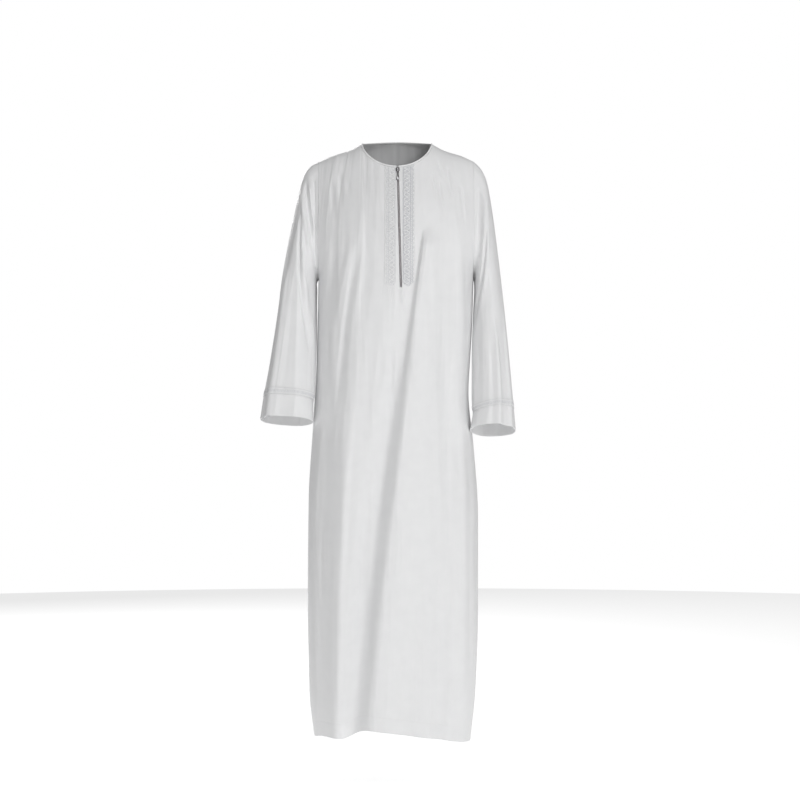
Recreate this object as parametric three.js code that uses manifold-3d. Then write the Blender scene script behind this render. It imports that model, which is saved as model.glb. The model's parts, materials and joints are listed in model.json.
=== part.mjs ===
// A man's ankle-length satin robe of the kurta family, in the hollow form it has when worn: front
// and back panels, two set-in sleeves with cuff bands, a bound round neck, a front zip between
// two embroidered strips, and an embroidered line above each cuff.
//
// Millimetres, +Z up. The front faces -Y and +X is the wearer's left. The origin is where the
// shoulders hold the robe: midway between the points where the shoulder seams meet the neckline.

import * as THREE from 'three';
import Module from 'manifold-3d';

const wasm = await Module();
wasm.setup();

// ---------------------------------------------------------------- driving sizes

const CLOTH = 1.5; // thickness of a cloth wall
const SEAM_GAP = 0.3; // between two pieces that are sewn or laid together
const HALF_GAP = SEAM_GAP / 2;

const NECK_X = 2; // the neck hole's middle, a little to the wearer's left
const NECK_HALF_WIDTH = 87;
const FRONT_NECK_DROP = 62;
const FRONT_NECK_POWER = 0.58; // 1 is a parabola, half is an ellipse
const BACK_NECK_RISE = 8;

const ARMHOLE_X = 188; // the armhole seams hang in these two upright planes
const UNDERARM_Z = -330;
const ARMHOLE_FULLNESS = 26; // the chest's section runs this far past the armhole plane
const ARMHOLE_ROUNDING = 130; // height over which that fullness comes in above the underarm

const SECTION_POWER = 2.4; // the body's level sections: 2 is an ellipse, more is squarer

const ZIP_END_Z = -352;
const ZIP_TOP_X = 4; // the zip hangs a little to the wearer's left, more so lower down
const ZIP_END_X = 12;
const SLOT_HALF_WIDTH = 2.9; // the front is open this far to each side of the zip line

const BODY_COLUMNS = 18; // from the slot to a side seam
const STRIP_COLUMNS = 4; // of those, from the slot to the strip's outer edge
const NECK_COLUMNS = 8; // of those, from the slot to the neck point
const BACK_COLUMNS = 12;
const BACK_NECK_COLUMNS = 5;
const YOKE_ROWS = 9; // from the shoulder down to the level of the underarm
const SKIRT_ROWS = 14; // from there to the hem
const YOKE_ROW_POWER = 1.5; // crowds the rows towards the shoulder crest
const SLEEVE_COLUMNS = 20;

// Height of the shoulder crest, going out from the neck's middle. Inside the neck it is the line
// that the crest would follow over it, which the neckline hangs below.
const SHOULDER_CREST = [
  { out: 0, z: 26 },
  { out: 45, z: 17 },
  { out: 87, z: 0 },
  { out: 114, z: -14 },
  { out: 158, z: -28 },
  { out: 188, z: -42 },
];

// How far the cloth stands in front of the side seams at a drop below the crest, and behind them.
const FRONT_DEPTH = [
  { drop: 0, depth: 0 },
  { drop: 10, depth: 28 },
  { drop: 45, depth: 56 },
  { drop: 85, depth: 75 },
  { drop: 176, depth: 112 },
  { drop: 276, depth: 132 },
  { drop: 426, depth: 139 },
  { drop: 1456, depth: 150 },
];
const BACK_DEPTH = [
  { drop: 0, depth: 0 },
  { drop: 8, depth: 33 },
  { drop: 18, depth: 52 },
  { drop: 60, depth: 75 },
  { drop: 126, depth: 97 },
  { drop: 226, depth: 114 },
  { drop: 426, depth: 120 },
  { drop: 1456, depth: 131 },
];

// Distance of each side seam from the middle plane, going down.
const RIGHT_SIDE_SEAM = [
  { z: -330, out: 188 },
  { z: -520, out: 192.5 },
  { z: -690, out: 202 },
  { z: -860, out: 212 },
  { z: -1100, out: 214 },
  { z: -1330, out: 210 },
  { z: -1431, out: 199 },
];
const LEFT_SIDE_SEAM = [
  { z: -330, out: 188 },
  { z: -430, out: 181 },
  { z: -520, out: 174 },
  { z: -600, out: 174 },
  { z: -740, out: 189 },
  { z: -900, out: 199 },
  { z: -1140, out: 199 },
  { z: -1320, out: 193 },
  { z: -1442, out: 181 },
];

// Height of the hem across the front and the back, from the wearer's right to the left.
const FRONT_HEM = [
  { x: -199, z: -1431 },
  { x: -174, z: -1424 },
  { x: -128, z: -1425 },
  { x: -68, z: -1402 },
  { x: -32, z: -1406 },
  { x: 60, z: -1420 },
  { x: 181, z: -1442 },
];
const BACK_HEM = [
  { x: -199, z: -1431 },
  { x: 0, z: -1437 },
  { x: 181, z: -1442 },
];

// The largest folds. Each runs from its top to its bottom level through three places across, and
// stands out (or in, where its height is negative) with a soft slope of its own to each side. It
// grows from nothing at the top to its full height over a length.
const FRONT_FOLDS = [
  { top: -235, bottom: -1440, x: [52, -34, -106], height: -15, growth: 620, right: 52, left: 34 },
  { top: -235, bottom: -1440, x: [76, 5, -58], height: 13, growth: 620, right: 34, left: 96 },
  { top: -270, bottom: -1440, x: [-90, -134, -142], height: 13, growth: 420, right: 42, left: 62 },
  { top: -360, bottom: -1440, x: [112, 122, 98], height: -7, growth: 300, right: 46, left: 40 },
  { top: -200, bottom: -1440, x: [150, 160, 162], height: 5, growth: 200, right: 24, left: 24 },
];
const BACK_FOLDS = [
  { top: -190, bottom: -1450, x: [-96, -122, -138], height: 12, growth: 520, right: 46, left: 60 },
  { top: -260, bottom: -1450, x: [-40, -62, -86], height: -13, growth: 600, right: 40, left: 44 },
  { top: -330, bottom: -1450, x: [14, 2, -14], height: 11, growth: 500, right: 52, left: 46 },
  { top: -230, bottom: -1450, x: [62, 66, 58], height: -12, growth: 560, right: 44, left: 42 },
  { top: -180, bottom: -1450, x: [112, 128, 130], height: 12, growth: 480, right: 50, left: 44 },
];

// Each sleeve's sections below the armhole: where its outer and inner edges are in the front
// view, the depth of its centre, how far it stands before and behind that, and how much the
// front of the section is raised for each millimetre forward.
const RIGHT_SLEEVE = {
  side: -1,
  rings: [
    { outX: -207, outZ: -53, inX: -189.5, inZ: -331.5, y: 0, front: 60, back: 62, tilt: 0 },
    { outX: -221, outZ: -70, inX: -191, inZ: -334, y: 0, front: 63, back: 65, tilt: 0 },
    { outX: -231, outZ: -98, inX: -192.5, inZ: -337, y: 0, front: 66, back: 67, tilt: 0 },
    { outX: -243, outZ: -150, inX: -194, inZ: -342, y: -1, front: 70, back: 70, tilt: 0 },
    { outX: -255, outZ: -207, inX: -195.5, inZ: -350, y: -3, front: 72, back: 71, tilt: 0.02 },
    { outX: -267, outZ: -270, inX: -197.5, inZ: -364, y: -6, front: 71, back: 69, tilt: 0.05 },
    { outX: -277, outZ: -330, inX: -199.5, inZ: -390, y: -12, front: 68, back: 66, tilt: 0.08 },
    { outX: -285, outZ: -400, inX: -200.5, inZ: -434, y: -21, front: 64, back: 62, tilt: 0.12 },
    { outX: -295, outZ: -470, inX: -201, inZ: -490, y: -30, front: 60, back: 58, tilt: 0.16 },
    { outX: -305.5, outZ: -538, inX: -200.5, inZ: -550, y: -40, front: 56, back: 54, tilt: 0.2 },
    { outX: -316, outZ: -597, inX: -199.3, inZ: -605, y: -48, front: 53, back: 51, tilt: 0.22 },
    { outX: -319, outZ: -614, inX: -199.2, inZ: -622, y: -50, front: 52, back: 50, tilt: 0.23 },
    { outX: -327, outZ: -667, inX: -198.5, inZ: -673, y: -54, front: 52, back: 50, tilt: 0.24 },
  ],
  creases: [
    { from: 5, to: 14, angle: 48, height: 5, spread: 34 },
    { from: 6, to: 14, angle: 84, height: -3.5, spread: 30 },
    { from: 4, to: 14, angle: 235, height: 5, spread: 40 },
  ],
};
const LEFT_SLEEVE = {
  side: 1,
  rings: [
    { outX: 203, outZ: -55, inX: 189.1, inZ: -331.5, y: 0, front: 60, back: 62, tilt: 0 },
    { outX: 215, outZ: -75, inX: 189.4, inZ: -334, y: 0, front: 63, back: 65, tilt: 0 },
    { outX: 223, outZ: -100, inX: 189.7, inZ: -337, y: 0, front: 66, back: 67, tilt: 0 },
    { outX: 231, outZ: -145, inX: 190, inZ: -342, y: -1, front: 70, back: 70, tilt: 0 },
    { outX: 239, outZ: -200, inX: 190, inZ: -350, y: -3, front: 72, back: 71, tilt: 0.02 },
    { outX: 247, outZ: -265, inX: 190, inZ: -364, y: -6, front: 71, back: 69, tilt: 0.05 },
    { outX: 254, outZ: -325, inX: 190, inZ: -390, y: -12, front: 68, back: 66, tilt: 0.08 },
    { outX: 261.5, outZ: -396, inX: 190, inZ: -434, y: -22, front: 64, back: 62, tilt: 0.12 },
    { outX: 269, outZ: -472, inX: 190, inZ: -495, y: -33, front: 60, back: 58, tilt: 0.16 },
    { outX: 276, outZ: -552, inX: 190, inZ: -566, y: -45, front: 57, back: 55, tilt: 0.2 },
    { outX: 282, outZ: -624, inX: 188, inZ: -636, y: -55, front: 56, back: 54, tilt: 0.23 },
    { outX: 283.5, outZ: -642, inX: 185.5, inZ: -652, y: -57, front: 56, back: 54, tilt: 0.25 },
    { outX: 288, outZ: -694, inX: 177.5, inZ: -692, y: -62, front: 56, back: 52, tilt: 0.29 },
  ],
  creases: [
    { from: 9, to: 14, angle: 92, height: 5, spread: 30 },
    { from: 6, to: 14, angle: 132, height: -3.5, spread: 30 },
    { from: 4, to: 14, angle: 300, height: 5, spread: 40 },
  ],
};
const BAND_RING = 12; // the ring at which a cuff band is sewn to its sleeve
const ARMHOLE_BLEND_RINGS = 5; // over which the armhole's shape becomes the sleeve's ellipse
const CUFF_BAND_ROWS = 2;

const STRIP_X = { right: [-1, -27.5], left: [16.4, 45.4] }; // a strip's edges, inner and outer
const STRIP_POINT = [0.72, 0.9, 1, 0.68]; // how far each column of a strip runs down its last row
const EMBROIDERY = 0.8; // thickness of an embroidered strip
const BINDING_WIDTH = 4.5;
const BINDING_PROUD = 0.45; // the binding stands this far out from each face of the panels
const BINDING_STAND = 0.35; // how much it turns up from the panels towards the neck

const TAPE_INNER = 2.7;
const TAPE = 0.8;
const CHAIN_HALF_WIDTH = 2.2;
const CHAIN = 2.4; // thickness of the closed teeth
const CHAIN_SET_BACK = 0.6; // they lie this far below the face of the cloth
const CHAIN_END_CLEARANCE = 0.5; // between the last tooth and the end of the slot

const SLIDER_Z = -68;
const SLIDER = { width: 9, length: 10, plate: 1.5, corner: 2.2, postWidth: 2.4, postLength: 2.4 };
const BRIDGE = { width: 2.4, length: 5, height: 3.3, wall: 1 };
const LINK = { width: 5.4, length: 10.5, bar: 1, thickness: 0.9 };
const RING = { radius: 2.1, wire: 0.4, sides: 6, steps: 16 };
const DROP = { neck: 1.6, width: 7.6, length: 20, thickness: 1, eye: 0.85, rim: 1.25 };
const PULL_LEAN_DEGREES = 3; // the pull's far end leans in to lie on the cloth
const ARC_SEGMENTS = 4; // for each quarter of a rounded corner
const WELD_STEPS = 1e4; // corners of a metal piece are joined where they agree to this part of 1 mm

// ---------------------------------------------------------------- materials

const satin = new THREE.MeshStandardMaterial({ color: 0xf1f1ef, roughness: 0.42, metalness: 0 });
const binding = new THREE.MeshStandardMaterial({ color: 0xeeeeec, roughness: 0.48, metalness: 0 });
const thread = new THREE.MeshStandardMaterial({ color: 0xdfe1e4, roughness: 0.35, metalness: 0 });
const tape = new THREE.MeshStandardMaterial({ color: 0xe6e4e4, roughness: 0.8, metalness: 0 });
const teeth = new THREE.MeshStandardMaterial({ color: 0xa79fa3, roughness: 0.4, metalness: 0.5 });
const steel = new THREE.MeshStandardMaterial({ color: 0x8b8b90, roughness: 0.3, metalness: 1 });

// ---------------------------------------------------------------- curves

const lerp = THREE.MathUtils.lerp;
const smoothstep = (t) => THREE.MathUtils.smoothstep(t, 0, 1);

/** A smooth curve through (key, value) pairs that never overshoots them, held level past its ends. */
function curveThrough(pairs) {
  const points = [...pairs].sort((a, b) => a[0] - b[0]);
  const rises = points.slice(1).map(([k, v], i) => (v - points[i][1]) / (k - points[i][0]));
  const slopes = points.map((point, i) => {
    const before = rises[i - 1] ?? rises[i];
    const after = rises[i] ?? rises[i - 1];
    return before * after > 0 ? (2 * before * after) / (before + after) : 0;
  });
  return (key) => {
    const clamped = THREE.MathUtils.clamp(key, points[0][0], points.at(-1)[0]);
    const i = Math.max(0, points.findIndex(([k]) => k >= clamped) - 1);
    const span = points[i + 1][0] - points[i][0];
    const t = (clamped - points[i][0]) / span;
    const start = points[i][1] + t * t * (3 - 2 * t) * (points[i + 1][1] - points[i][1]);
    return start + span * t * (1 - t) * ((1 - t) * slopes[i] - t * slopes[i + 1]);
  };
}

const crest = curveThrough(SHOULDER_CREST.map(({ out, z }) => [out, z]));
const crestZ = (x) => crest(Math.abs(x - NECK_X));
const inNeck = (x) => Math.abs(x - NECK_X) <= NECK_HALF_WIDTH + 1e-6;
const zipX = (z) => {
  const t = (z + FRONT_NECK_DROP) / (ZIP_END_Z + FRONT_NECK_DROP);
  return lerp(ZIP_TOP_X, ZIP_END_X, THREE.MathUtils.clamp(t, 0, 1));
};
const seams = {
  right: curveThrough(RIGHT_SIDE_SEAM.map(({ z, out }) => [z, out])),
  left: curveThrough(LEFT_SIDE_SEAM.map(({ z, out }) => [z, out])),
};

// The front and the back differ in which way they face, how deep they stand, their neckline,
// their hem and their folds. Depth is read over the root of the drop, so the crest is rounded.
const depthCurve = (rows) => curveThrough(rows.map(({ drop, depth }) => [Math.sqrt(drop), depth]));
const hemCurve = (rows) => curveThrough(rows.map(({ x, z }) => [x, z]));
const neckArch = (x) => Math.max(0, 1 - ((x - NECK_X) / NECK_HALF_WIDTH) ** 2);
const FRONT = {
  facing: -1,
  depth: depthCurve(FRONT_DEPTH),
  hem: hemCurve(FRONT_HEM),
  neck: (x) => -FRONT_NECK_DROP * neckArch(x) ** FRONT_NECK_POWER,
  folds: FRONT_FOLDS,
};
const BACK = {
  facing: 1,
  depth: depthCurve(BACK_DEPTH),
  hem: hemCurve(BACK_HEM),
  neck: (x) => BACK_NECK_RISE * neckArch(x),
  folds: BACK_FOLDS,
};

/** Half the width of the body's level section on one side (-1 is the wearer's right). */
function halfWidth(side, z) {
  if (z <= UNDERARM_Z) return side < 0 ? seams.right(z) : seams.left(z);
  return ARMHOLE_X + ARMHOLE_FULLNESS * smoothstep((z - UNDERARM_Z) / ARMHOLE_ROUNDING);
}

/** A soft hump from 1 in its middle to 0 at one reach on the minus side, another on the plus. */
function hump(distance, minusReach, plusReach) {
  const t = distance / (distance < 0 ? minusReach : plusReach);
  return Math.abs(t) < 1 ? (1 - t * t) ** 2 : 0;
}

/** How far all of a face's folds push the cloth outwards at a place. */
function foldHeight(folds, x, z) {
  return folds.reduce((sum, fold) => {
    if (z > fold.top) return sum;
    const t = (fold.top - z) / (fold.top - fold.bottom);
    const [start, middle, end] = fold.x;
    const across = start * (1 - t) * (1 - 2 * t) + middle * 4 * t * (1 - t) + end * t * (2 * t - 1);
    const grown = smoothstep((fold.top - z) / fold.growth);
    return sum + fold.height * grown * hump(x - across, fold.right, fold.left);
  }, 0);
}

/** The depth coordinate of the front or back of the body, with its folds. */
function bodyY(face, x, z) {
  const drop = Math.max(0, crestZ(x) - z);
  const across = Math.min(1, Math.abs(x) / halfWidth(Math.sign(x), z));
  const fullness = (1 - across ** SECTION_POWER) ** (1 / SECTION_POWER);
  const y = fullness * (face.depth(Math.sqrt(drop)) + foldHeight(face.folds, x, z));
  return face.facing * Math.max(HALF_GAP, y);
}

// ---------------------------------------------------------------- sheets of cloth

/** Outward normals of a grid of points, whose rows go down and whose columns go round. */
function gridNormals(points, wrap) {
  const lastRow = points.length - 1;
  const lastColumn = points[0].length - 1;
  return points.map((row, r) => row.map((point, c) => {
    const before = wrap ? (c + lastColumn) % (lastColumn + 1) : Math.max(0, c - 1);
    const after = wrap ? (c + 1) % (lastColumn + 1) : Math.min(lastColumn, c + 1);
    const across = row[after].clone().sub(row[before]);
    const down = points[Math.min(lastRow, r + 1)][c].clone().sub(points[Math.max(0, r - 1)][c]);
    return down.cross(across).normalize();
  }));
}

/**
 * A closed wall of cloth on a grid: its outer face is moved out from the grid's points by lift
 * and its inner face lies a thickness behind that. A quad for which open(row, column) is true is
 * left out, and every free edge gets a rim.
 */
function wall({ points, normals }, { thickness = CLOTH, lift = 0, wrap = false, open = () => false } = {}) {
  const rows = points.length;
  const columns = points[0].length;
  const vertices = [];
  for (const depth of [lift, lift - thickness]) {
    points.forEach((row, r) => row.forEach((point, c) => {
      vertices.push(...point.clone().addScaledVector(normals[r][c], depth).toArray());
    }));
  }
  const outer = (r, c) => r * columns + (c % columns);
  const inner = (r, c) => rows * columns + outer(r, c);
  const quadColumns = wrap ? columns : columns - 1;
  const filled = (r, c) => {
    const column = wrap ? (c + quadColumns) % quadColumns : c;
    return r >= 0 && r < rows - 1 && column >= 0 && column < quadColumns && !open(r, column);
  };
  const indices = [];
  const rim = (p, q) => {
    indices.push(outer(...q), outer(...p), inner(...p));
    indices.push(outer(...q), inner(...p), inner(...q));
  };
  for (let r = 0; r < rows - 1; r += 1) {
    for (let c = 0; c < quadColumns; c += 1) {
      if (!filled(r, c)) continue;
      const [a, b, d, e] = [[r, c], [r, c + 1], [r + 1, c + 1], [r + 1, c]];
      indices.push(outer(...a), outer(...e), outer(...d), outer(...a), outer(...d), outer(...b));
      indices.push(inner(...a), inner(...d), inner(...e), inner(...a), inner(...b), inner(...d));
      if (!filled(r, c - 1)) rim(a, e);
      if (!filled(r + 1, c)) rim(e, d);
      if (!filled(r, c + 1)) rim(d, b);
      if (!filled(r - 1, c)) rim(b, a);
    }
  }
  return closedGeometry(vertices, indices);
}

/** A geometry that holds only the vertices its triangles use. */
function closedGeometry(vertices, indices) {
  const used = [...new Set(indices)];
  const place = new Map(used.map((index, i) => [index, i]));
  const kept = used.flatMap((index) => vertices.slice(3 * index, 3 * index + 3));
  const geometry = new THREE.BufferGeometry();
  geometry.setAttribute('position', new THREE.Float32BufferAttribute(kept, 3));
  geometry.setIndex(indices.map((index) => place.get(index)));
  return geometry;
}

/** A point of a grid at a row that may lie part way between two of them. */
function between(grid, row, column) {
  const above = Math.min(Math.floor(row), grid.points.length - 2);
  const mix = (field) => grid[field][above][column].clone()
    .lerp(grid[field][above + 1][column], row - above);
  return { point: mix('points'), normal: mix('normals').normalize() };
}

// ---------------------------------------------------------------- front and back panels

/** Even steps from 0 to 1 made closer towards 1, as steps of angle are seen side on. */
const crowded = (step) => Math.sin((Math.PI / 2) * step);

/** Place across of a front column, k steps out from the slot, for a level between two layouts. */
function frontColumnX(side, k, z, edge, low) {
  if (k === 0) return zipX(z) + side * SLOT_HALF_WIDTH;
  const [inner, outer] = side < 0 ? STRIP_X.right : STRIP_X.left;
  if (k <= STRIP_COLUMNS) return lerp(inner, outer, (k - 1) / (STRIP_COLUMNS - 1));
  const neck = NECK_X + side * NECK_HALF_WIDTH;
  const high = k <= NECK_COLUMNS
    ? lerp(outer, neck, crowded((k - STRIP_COLUMNS) / (NECK_COLUMNS - STRIP_COLUMNS)))
    : lerp(neck, side * edge, (k - NECK_COLUMNS) / (BODY_COLUMNS - NECK_COLUMNS));
  const step = (k - STRIP_COLUMNS) / (BODY_COLUMNS - STRIP_COLUMNS);
  return lerp(high, lerp(outer, side * edge, crowded(step)), low);
}

/** Place across of a back column, k steps out from the middle. */
function backColumnX(side, k, z, edge, low) {
  const neck = NECK_X + side * NECK_HALF_WIDTH;
  const high = k <= BACK_NECK_COLUMNS
    ? lerp(NECK_X, neck, crowded(k / BACK_NECK_COLUMNS))
    : lerp(neck, side * edge, (k - BACK_NECK_COLUMNS) / (BACK_COLUMNS - BACK_NECK_COLUMNS));
  return lerp(high, side * edge * crowded(k / BACK_COLUMNS), low);
}

/** One column of a panel, from the neckline or shoulder seam down to the hem. */
function panelColumn(face, columnX, side, k, columns) {
  const armhole = ARMHOLE_X - HALF_GAP;
  const topX = columnX(side, k, -FRONT_NECK_DROP, armhole, 0);
  const topZ = inNeck(topX) ? face.neck(topX) : crestZ(topX);
  const chestZ = lerp(ZIP_END_Z, UNDERARM_Z, (k / columns) ** 2);
  const hemX = columnX(side, k, ZIP_END_Z, halfWidth(side, face.hem(side * ARMHOLE_X)), 1);
  const hemZ = face.hem(hemX);
  const column = [];
  for (let r = 0; r <= YOKE_ROWS + SKIRT_ROWS; r += 1) {
    const inYoke = r <= YOKE_ROWS;
    const z = inYoke
      ? lerp(topZ, chestZ, (r / YOKE_ROWS) ** YOKE_ROW_POWER)
      : lerp(chestZ, hemZ, (r - YOKE_ROWS) / SKIRT_ROWS);
    const edge = inYoke ? armhole : halfWidth(side, z);
    const x = r === 0 ? topX : columnX(side, k, z, edge, inYoke ? smoothstep(r / YOKE_ROWS) : 1);
    const onSeam = k === columns && !inYoke;
    const onShoulder = r === 0 && !inNeck(topX);
    const y = onSeam || onShoulder ? face.facing * HALF_GAP : bodyY(face, x, z);
    column.push(new THREE.Vector3(x, y, z));
  }
  return column;
}

/**
 * A panel's grid. Along a seam the normals are turned into the seam's own plane, so two walls
 * that meet there keep their gap through the cloth's thickness.
 */
function panelGrid(face, columnX, columns) {
  const spread = [];
  for (let k = columns; k >= 0; k -= 1) spread.push([-1, k]);
  for (let k = face === FRONT ? 0 : 1; k <= columns; k += 1) spread.push([1, k]);
  const ordered = face === FRONT ? spread : spread.reverse();
  const built = ordered.map(([side, k]) => panelColumn(face, columnX, side, k, columns));
  const points = built[0].map((_, r) => built.map((column) => column[r]));
  const normals = gridNormals(points, false);
  points.forEach((row, r) => row.forEach((point, c) => {
    const normal = normals[r][c];
    const atSide = c === 0 || c === row.length - 1;
    if (atSide && r === YOKE_ROWS) {
      normal.set(Math.sign(point.x), 0, -1);
    } else if (atSide && r < YOKE_ROWS) {
      normal.setX(0);
    }
    const onShoulder = r === 0 && Math.abs(point.x - NECK_X) > NECK_HALF_WIDTH - 1;
    if ((atSide && r > YOKE_ROWS) || onShoulder) normal.setY(0);
    normal.normalize();
  }));
  return { points, normals };
}

const frontGrid = panelGrid(FRONT, frontColumnX, BODY_COLUMNS);
const backGrid = panelGrid(BACK, backColumnX, BACK_COLUMNS);
const SLOT_COLUMN = BODY_COLUMNS; // the front grid's column just before the slot

// ---------------------------------------------------------------- sleeves

/** One point of the armhole, which the sleeve's first ring follows. */
function armholePoint(side, turn) {
  const top = (1 + side * -Math.cos(turn)) / 2;
  const z = lerp(UNDERARM_Z, crestZ(side * ARMHOLE_X), top);
  const face = Math.sin(turn) >= 0 ? FRONT : BACK;
  const closed = Math.abs(Math.sin(turn)) < 1e-6;
  return new THREE.Vector3(side * (ARMHOLE_X + HALF_GAP), closed ? 0 : bodyY(face, side * ARMHOLE_X, z), z);
}

/** A sleeve's grid, from the armhole to the edge of the cuff. Columns start at the lowest X. */
function sleeveGrid({ side, rings, creases }) {
  const turns = Array.from({ length: SLEEVE_COLUMNS }, (_, c) => (2 * Math.PI * c) / SLEEVE_COLUMNS);
  const armhole = turns.map((turn) => armholePoint(side, turn));
  const points = [armhole];
  rings.forEach((ring, i) => {
    const outer = [ring.outX, ring.outZ];
    const inner = [ring.inX, ring.inZ];
    const [low, high] = side < 0 ? [outer, inner] : [inner, outer];
    const blend = smoothstep((i + 1) / ARMHOLE_BLEND_RINGS);
    points.push(turns.map((turn, c) => {
      const across = (1 - Math.cos(turn)) / 2;
      const crease = creases.reduce((sum, { from, to, angle, height, spread }) => {
        const along = smoothstep((i + 1 - from) / 3) * (i + 1 <= to ? 1 : 0);
        return sum + height * along * hump((turn * 180) / Math.PI - angle, spread, spread);
      }, 0);
      const reach = Math.sin(turn) >= 0 ? ring.front : ring.back;
      const swell = (reach + crease) * Math.sin(turn);
      const y = lerp(armhole[c].y, ring.y - swell, blend);
      const z = lerp(low[1], high[1], across) + ring.tilt * (ring.y - y);
      return new THREE.Vector3(lerp(low[0], high[0], across), y, z);
    }));
  });
  const normals = gridNormals(points, true);
  normals[0].forEach((normal) => normal.setX(0).normalize());
  return { points, normals };
}

/** The rows of a sleeve's grid from one row to another, either of which may lie between rings. */
function sleevePart(grid, rows) {
  const part = rows.map((row) => grid.points[0].map((_, c) => between(grid, row, c)));
  return {
    points: part.map((row) => row.map(({ point }) => point)),
    normals: part.map((row) => row.map(({ normal }) => normal)),
  };
}

const wholeRows = (from, to) => Array.from({ length: to - from + 1 }, (_, i) => from + i);

/** The sleeve, its cuff band and the embroidered line at their seam. */
function sleeveParts(name, sleeve) {
  const grid = sleeveGrid(sleeve);
  const cuffRing = sleeve.rings.length;
  const bandDepth = grid.points[BAND_RING][0].distanceTo(grid.points[cuffRing][0]);
  const bandStart = BAND_RING + SEAM_GAP / bandDepth;
  const bandRows = wholeRows(0, CUFF_BAND_ROWS).map((i) => lerp(bandStart, cuffRing, i / CUFF_BAND_ROWS));
  const line = sleevePart(grid, [BAND_RING - 1, BAND_RING]);
  return [
    mesh(`sleeve_${name}`, wall(sleevePart(grid, wholeRows(0, BAND_RING)), { wrap: true }), satin),
    mesh(`cuff_band_${name}`, wall(sleevePart(grid, bandRows), { wrap: true }), satin),
    mesh(`cuff_embroidery_${name}`, wall(line, laidOn(EMBROIDERY, { wrap: true })), thread),
  ];
}

// ---------------------------------------------------------------- neck binding

/** The binding round the neckline, from one side of the zip to the other. */
function bindingGeometry() {
  const frontNeck = frontGrid.points[0].map((point, c) => ({ point, normal: frontGrid.normals[0][c], c }));
  const leftHalf = frontNeck.filter(({ point, c }) => c > SLOT_COLUMN && inNeck(point.x));
  const rightHalf = frontNeck.filter(({ point, c }) => c <= SLOT_COLUMN && inNeck(point.x));
  const back = backGrid.points[0]
    .map((point, c) => ({ point, normal: backGrid.normals[0][c] }))
    .filter(({ point }) => inNeck(point.x));
  const loop = [...leftHalf, ...back.slice(1, -1), ...rightHalf];
  const sections = loop.map(({ point, normal }, i) => {
    const ahead = (loop[i + 1] ?? loop[i]).point;
    const behind = (loop[i - 1] ?? loop[i]).point;
    const along = ahead.clone().sub(behind).normalize();
    const up = along.clone().cross(normal).negate().normalize();
    up.z += BINDING_STAND;
    up.addScaledVector(along, -up.dot(along)).normalize();
    const out = up.clone().cross(along).normalize();
    if (out.dot(normal) < 0) out.negate();
    const corner = (rise, lift) => point.clone().addScaledVector(up, rise).addScaledVector(out, lift);
    const low = SEAM_GAP;
    const high = SEAM_GAP + BINDING_WIDTH;
    const [face, lining] = [BINDING_PROUD, -CLOTH - BINDING_PROUD];
    return [corner(low, face), corner(low, lining), corner(high, lining), corner(high, face)];
  });
  return tubeThrough(sections);
}

/** A closed solid through sections with the same number of corners, capped at both ends. */
function tubeThrough(sections) {
  const corners = sections[0].length;
  const vertices = sections.flatMap((section) => section.flatMap((corner) => corner.toArray()));
  const at = (s, c) => s * corners + (c % corners);
  const indices = [];
  for (let s = 0; s < sections.length - 1; s += 1) {
    for (let c = 0; c < corners; c += 1) {
      indices.push(at(s, c), at(s, c + 1), at(s + 1, c + 1), at(s, c), at(s + 1, c + 1), at(s + 1, c));
    }
  }
  for (let c = 1; c < corners - 1; c += 1) {
    indices.push(at(0, 0), at(0, c + 1), at(0, c));
    indices.push(at(sections.length - 1, 0), at(sections.length - 1, c), at(sections.length - 1, c + 1));
  }
  return closedGeometry(vertices, indices);
}

// ---------------------------------------------------------------- embroidery and zip

/** Options of a wall that lies on another, a gap above its face. */
function laidOn(thickness, options = {}) {
  return { ...options, thickness, lift: SEAM_GAP + thickness };
}

/** The embroidered strip on one side of the zip, on the front panel's own points. */
function stripGeometry(side) {
  const columns = wholeRows(1, STRIP_COLUMNS).map((k) => SLOT_COLUMN + (side < 0 ? 0 : 1) + side * k);
  if (side < 0) columns.reverse();
  const ends = side < 0 ? [...STRIP_POINT].reverse() : STRIP_POINT;
  const rows = wholeRows(0, YOKE_ROWS).map((row) => columns.map((column, i) => {
    const last = YOKE_ROWS - 1 + ends[i];
    return between(frontGrid, Math.min(row, last), column);
  }));
  return wall({
    points: rows.map((row) => row.map(({ point }) => point)),
    normals: rows.map((row) => row.map(({ normal }) => normal)),
  }, laidOn(EMBROIDERY));
}

/** A point of the zip line, and the cloth's normal there, at a row of the front grid. */
function zipPoint(row) {
  const before = between(frontGrid, row, SLOT_COLUMN);
  const after = between(frontGrid, row, SLOT_COLUMN + 1);
  return {
    point: before.point.lerp(after.point, 0.5),
    normal: before.normal.add(after.normal).normalize(),
  };
}

/** The row of the front grid at which the zip line reaches a level. */
function zipRowAt(z) {
  let row = 0;
  while (zipPoint(row).point.z > z) row += 1;
  const above = zipPoint(row - 1).point.z;
  const below = zipPoint(row).point.z;
  return row - 1 + (above - z) / (above - below);
}

/** One tape of the zip, behind the panel's edge. */
function tapeGeometry(side) {
  const first = SLOT_COLUMN + (side < 0 ? 0 : 1);
  const rows = wholeRows(0, YOKE_ROWS).map((row) => {
    const edge = between(frontGrid, row, first);
    edge.point.x -= side * (SLOT_HALF_WIDTH - TAPE_INNER);
    const strip = [edge, between(frontGrid, row, first + side), between(frontGrid, row, first + 2 * side)];
    return side < 0 ? strip.reverse() : strip;
  });
  return wall({
    points: rows.map((row) => row.map(({ point }) => point)),
    normals: rows.map((row) => row.map(({ normal }) => normal)),
  }, { thickness: TAPE, lift: -CLOTH - SEAM_GAP });
}

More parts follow.
